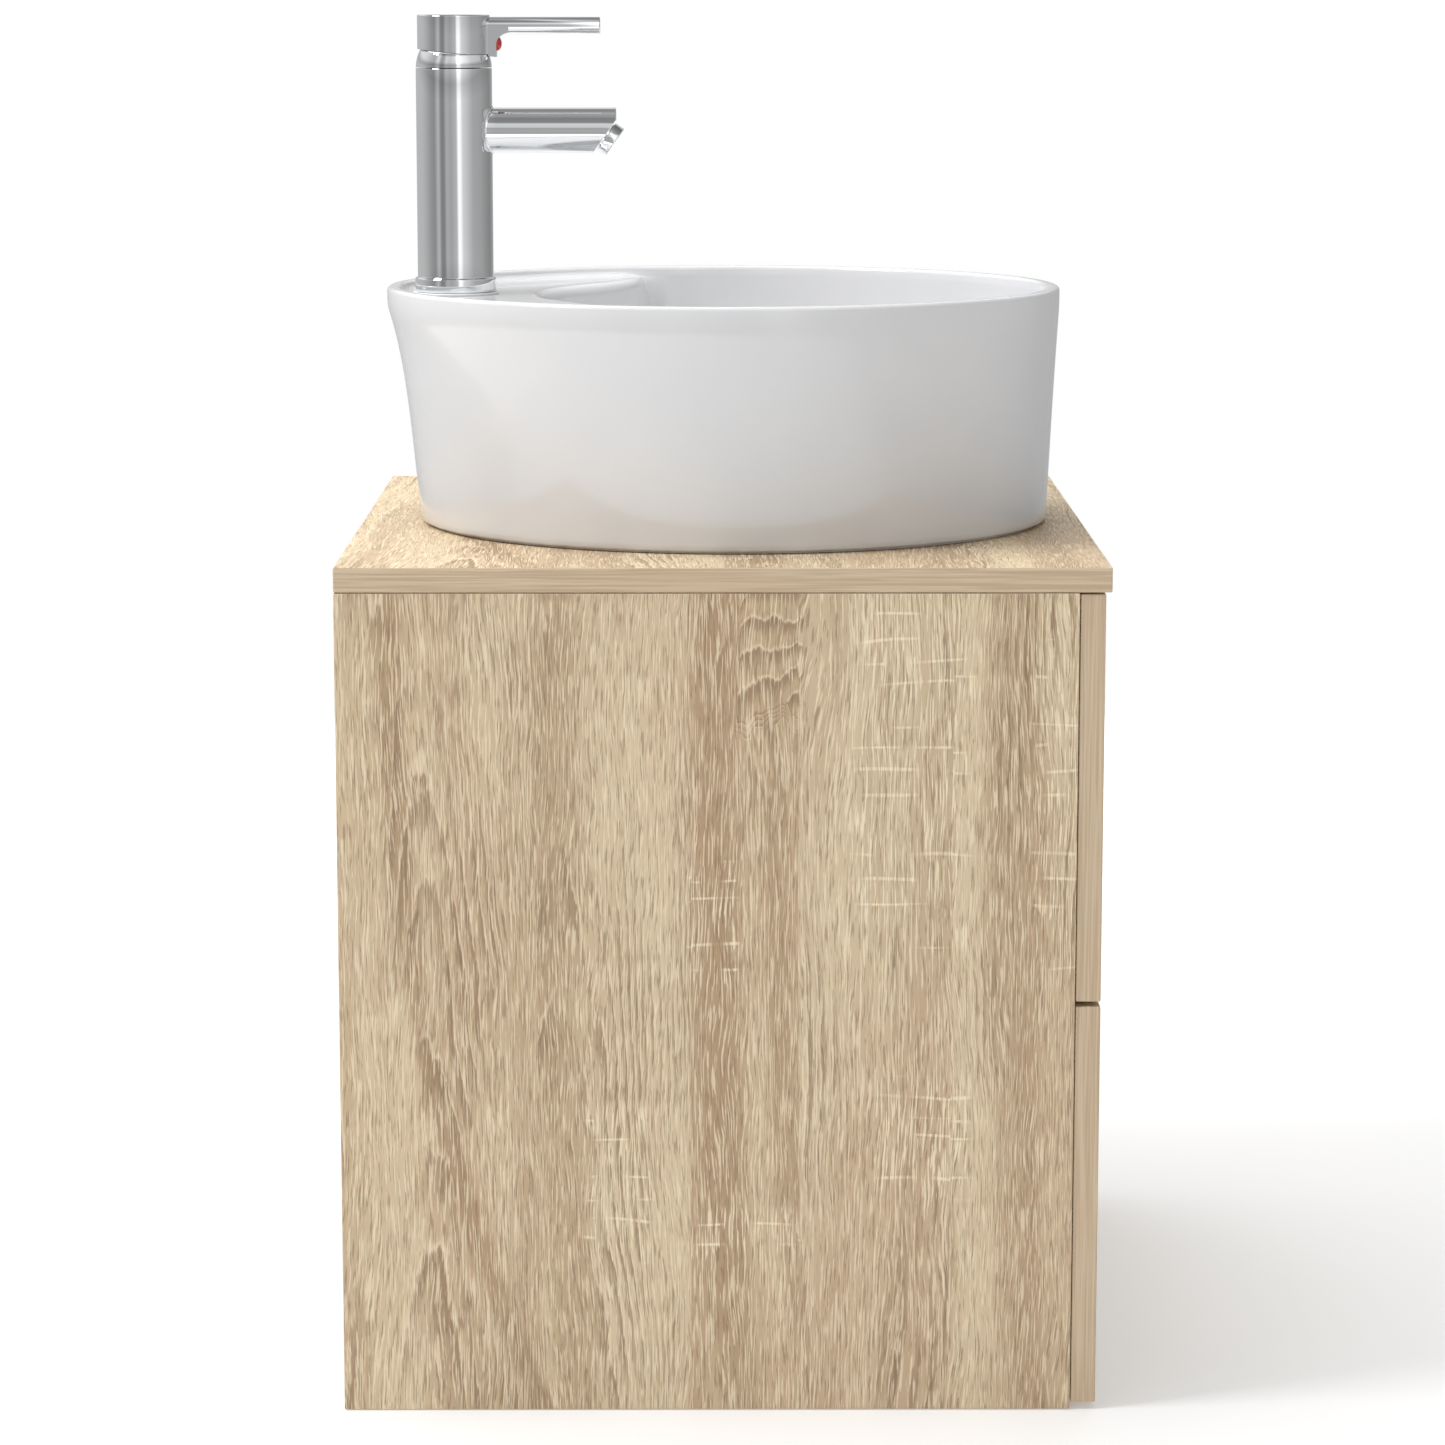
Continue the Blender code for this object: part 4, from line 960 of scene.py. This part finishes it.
def rod(name, radius, length, centre, segments, bevel=0.0):
    """A round rod along Y, whose end edges can be bevelled."""
    shape = bmesh.new()
    sizes = {"radius1": radius, "radius2": radius, "depth": length}
    bmesh.ops.create_cone(shape, cap_ends=True, segments=segments, **sizes)
    if bevel:
        caps = [edge for edge in shape.edges if len({round(v.co.z, 6) for v in edge.verts}) == 1]
        bmesh.ops.bevel(shape, geom=caps, offset=bevel, segments=3, affect="EDGES", profile=0.5)
    turn = Vector((0, -1, 0)).to_track_quat("Z", "Y")
    for vert in shape.verts:
        vert.co = turn @ vert.co + Vector(centre)
    return cutter(shape, name)


def lever():
    root_y = PIVOT.y - LEVER_ROOT
    tip_y = HANDLE[0].y
    centre = (0, (root_y + tip_y) / 2, PIVOT.z + LEVER_RISE)
    return rod("lever", LEVER_R, root_y - tip_y, centre, 64, bevel=0.0006)


def hollow():
    """The ball-shaped room for the bonnet."""
    shape = bmesh.new()
    bmesh.ops.create_uvsphere(shape, u_segments=96, v_segments=64, radius=HOLLOW_R)
    bmesh.ops.translate(shape, vec=PIVOT, verts=shape.verts)
    return cutter(shape, "hollow")


def slanted_cut(radius):
    """What is cut away below the hub, so that its lower edge slopes down to the nose."""
    back = Vector((0, radius, 0.0120))
    front = Vector((0, -NOSE_REACH, 0.0070))
    slope = (back - front).normalized()
    normal = Vector((0, -slope.z, slope.y))
    shape = bmesh.new()
    bmesh.ops.create_cube(shape, size=CUT_SIZE)
    turn = normal.to_track_quat("Z", "Y")
    for vert in shape.verts:
        vert.co = turn @ vert.co + PIVOT + (back + front) / 2 - CUT_SIZE / 2 * normal
    return cutter(shape, "slant")


def button_pocket():
    radius = (BUTTON[1].x - BUTTON[0].x) / 2 + PLAY
    bottom_y = PIVOT.y - NOSE_REACH + 0.0023
    centre = (0, bottom_y - POCKET_DEPTH / 2, (BUTTON[0].z + BUTTON[1].z) / 2)
    return rod("pocket", radius, POCKET_DEPTH, centre, 48)


def stem_socket():
    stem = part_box("mixer_stem")
    half_y = (stem[1].y - stem[0].y) / 2 + PLAY
    low = (-0.0048, PIVOT.y - half_y, PIVOT.z + 0.01)
    return block("socket", low, (0.0048, PIVOT.y + half_y, stem[1].z + PLAY))


def index_dot():
    """The button with the red and blue index, slightly domed."""
    button_z = (BUTTON[0].z + BUTTON[1].z) / 2
    button_r = (BUTTON[1].x - BUTTON[0].x) / 2
    face = BUTTON[1].y
    rise = face - BUTTON[0].y
    dome = [(0, 0), (button_r, 0), (button_r, rise * 0.40)]
    for turn in [math.radians(angle) for angle in range(6, 90, 7)]:
        dome.append((button_r * math.cos(turn), rise * (0.42 + 0.58 * math.sin(turn))))
    dome += [(0, rise)]
    button = lathe("index_dot", dome, (0, face, button_z), INDEX, direction=(0, -1, 0), segments=64)
    stand_for(button, "index_button", "mixer_handle")


# Waste


def waste():
    top = WASTE[1].z
    low = WASTE[0].z
    r = (WASTE[1].x - WASTE[0].x) / 2
    profile = [(r - 0.0005, top - 0.0025)]
    profile += arc((r - 0.0012, top - 0.0012), 0.0012, 0, 90, 5)
    profile += [(0.0235, top), (0.0195, top - 0.0035), (0.0190, top - 0.006), (0.0190, top - 0.077)]
    profile += [(0.0135, top - 0.083), (0.0135, low), (0.0160, low), (0.0160, top - 0.085)]
    profile += [(0.0215, top - 0.080), (0.0215, top - 0.0025)]
    body = lathe("waste_fitting", profile, (0, WASTE_Y, 0), CHROME)
    stand_for(body, "waste_body", "cabinet")
    r = (CAP[1].x - CAP[0].x) / 2
    high = CAP[1].z
    under = top + 0.0083
    profile = [(0, high)]
    profile += [(r * s, high - 0.0034 * s**3.2) for s in (0.2, 0.4, 0.55, 0.7, 0.8, 0.88, 0.94)]
    profile += arc((r - 0.0010, under + 0.0011), 0.0010, 55, -90, 8)
    profile += [(0.004, under), (0.004, CAP[0].z), (0, CAP[0].z)]
    cap = lathe("waste_plug", profile, (0, WASTE_Y, 0), CHROME)
    stand_for(cap, "waste_cap", "waste_cap")


# Room

FLOOR_R = 2.4
FLOOR_GAP = 0.0005
CAMERA_PLACE = (-2.840, 0.0072, 0.8521)
CAMERA_PITCH = -0.1640  # radians; negative looks down
CAMERA_YAW = -0.0027
LENS = 110.34
# The studio's greys: by degrees round from -X through +Y, and by height from straight down to straight up
AROUND = (
    (-180, 0.60),
    (-134, 0.32),
    (-108, 0.40),
    (-89, 0.48),
    (-60, 0.54),
    (-43, 0.74),
    (-28, 0.90),
    (-20, 1.45),
    (-14, 1.45),
    (-9, 0.66),
    (8, 0.50),
    (21, 0.58),
    (30, 0.30),
    (38, 0.32),
    (47, 0.66),
    (60, 0.36),
    (74, 0.42),
    (92, 0.56),
    (112, 0.66),
    (142, 0.66),
    (180, 0.60),
)
UPWARD = (
    (-1.0, 0.7),
    (-0.45, 0.7),
    (-0.15, 0.95),
    (0.06, 1.0),
    (0.16, 0.8),
    (0.30, 1.5),
    (0.56, 1.6),
    (0.66, 0.6),
    (0.90, 0.55),
    (1.0, 0.9),
)
WORLD_STRENGTH = 0.86


def room():
    shape = bmesh.new()
    bmesh.ops.create_circle(shape, cap_ends=True, segments=64, radius=FLOOR_R)
    floor = new_piece("studio_floor", shape, FLOOR)
    floor.location.z = -FLOOR_GAP


def ramp(tree, value, stops):
    """A grey ramp over a value from 0 to 1."""
    node = tree.nodes.new("ShaderNodeValToRGB")
    points = node.color_ramp.elements
    while len(points) < len(stops):
        points.new(0.5)
    for point, (spot, grey) in zip(points, stops):
        point.position = spot
        point.color = (grey, grey, grey, 1)
    tree.links.new(value, node.inputs[0])
    return node.outputs[0]


def direction_shares(tree):
    """A direction's turn about Z and its height, each from 0 to 1."""
    place = tree.nodes.new("ShaderNodeTexCoord")
    parts = tree.nodes.new("ShaderNodeSeparateXYZ")
    tree.links.new(place.outputs["Generated"], parts.inputs[0])
    facing = tree.nodes.new("ShaderNodeMath")
    facing.operation = "MULTIPLY"
    facing.inputs[1].default_value = -1.0
    tree.links.new(parts.outputs[0], facing.inputs[0])
    turn = tree.nodes.new("ShaderNodeMath")
    turn.operation = "ARCTAN2"
    tree.links.new(parts.outputs[1], turn.inputs[0])
    tree.links.new(facing.outputs[0], turn.inputs[1])
    shares = []
    for value, low, high in ((turn.outputs[0], -math.pi, math.pi), (parts.outputs[2], -1.0, 1.0)):
        share = tree.nodes.new("ShaderNodeMapRange")
        share.inputs["From Min"].default_value = low
        share.inputs["From Max"].default_value = high
        tree.links.new(value, share.inputs["Value"])
        shares.append(share.outputs[0])
    return shares


def world():
    """White to the camera. What lights and is mirrored is grey and banded, so that metal shows its form."""
    sky = bpy.data.worlds.new("studio")
    bpy.context.scene.world = sky
    sky.use_nodes = True
    tree = sky.node_tree
    back = tree.nodes["Background"]
    turn, height = direction_shares(tree)
    both = tree.nodes.new("ShaderNodeMix")
    both.data_type = "RGBA"
    both.blend_type = "MULTIPLY"
    both.inputs[0].default_value = 1.0
    tree.links.new(ramp(tree, turn, [((a + 180) / 360, grey) for a, grey in AROUND]), both.inputs[6])
    tree.links.new(ramp(tree, height, [((z + 1) / 2, grey) for z, grey in UPWARD]), both.inputs[7])
    tree.links.new(both.outputs[2], back.inputs["Color"])
    back.inputs["Strength"].default_value = WORLD_STRENGTH
    seen = tree.nodes.new("ShaderNodeBackground")
    seen.inputs["Color"].default_value = (1, 1, 1, 1)
    pick = tree.nodes.new("ShaderNodeMixShader")
    path = tree.nodes.new("ShaderNodeLightPath")
    tree.links.new(path.outputs["Is Camera Ray"], pick.inputs[0])
    tree.links.new(back.outputs[0], pick.inputs[1])
    tree.links.new(seen.outputs[0], pick.inputs[2])
    tree.links.new(pick.outputs[0], tree.nodes["World Output"].inputs["Surface"])


def area_light(name, place, target, size, power, mirrored=True):
    data = bpy.data.lights.new(name, "AREA")
    data.shape = "RECTANGLE"
    data.size, data.size_y = size
    data.energy = power
    lamp = bpy.data.objects.new(name, data)
    bpy.context.scene.collection.objects.link(lamp)
    lamp.location = place
    lamp.visible_glossy = mirrored
    lamp.rotation_mode = "QUATERNION"
    lamp.rotation_quaternion = (Vector(target) - Vector(place)).to_track_quat("-Z", "Y")


def lights():
    area_light("key", (-0.9, 2.2, 2.9), (0, 0, 0.55), (0.9, 0.9), 57)
    area_light("top", (0.3, 0.6, 3.3), (0, 0, 0.5), (2.6, 2.6), 83, mirrored=False)


def camera():
    """Looks at the cabinet's left side, from slightly above."""
    data = bpy.data.cameras.new("camera")
    data.sensor_width = 36.0
    data.lens = LENS
    data.clip_end = 200.0
    obj = bpy.data.objects.new("camera", data)
    bpy.context.scene.collection.objects.link(obj)
    obj.location = CAMERA_PLACE
    level = math.cos(CAMERA_PITCH)
    forward = (level * math.cos(CAMERA_YAW), level * math.sin(CAMERA_YAW), math.sin(CAMERA_PITCH))
    obj.rotation_mode = "QUATERNION"
    obj.rotation_quaternion = Vector(forward).to_track_quat("-Z", "Y")
    bpy.context.scene.camera = obj


camera()
dress_nodes()
basin()
mixer()
handle()
waste()
room()
world()
lights()
bpy.context.scene.view_settings.view_transform = "Standard"
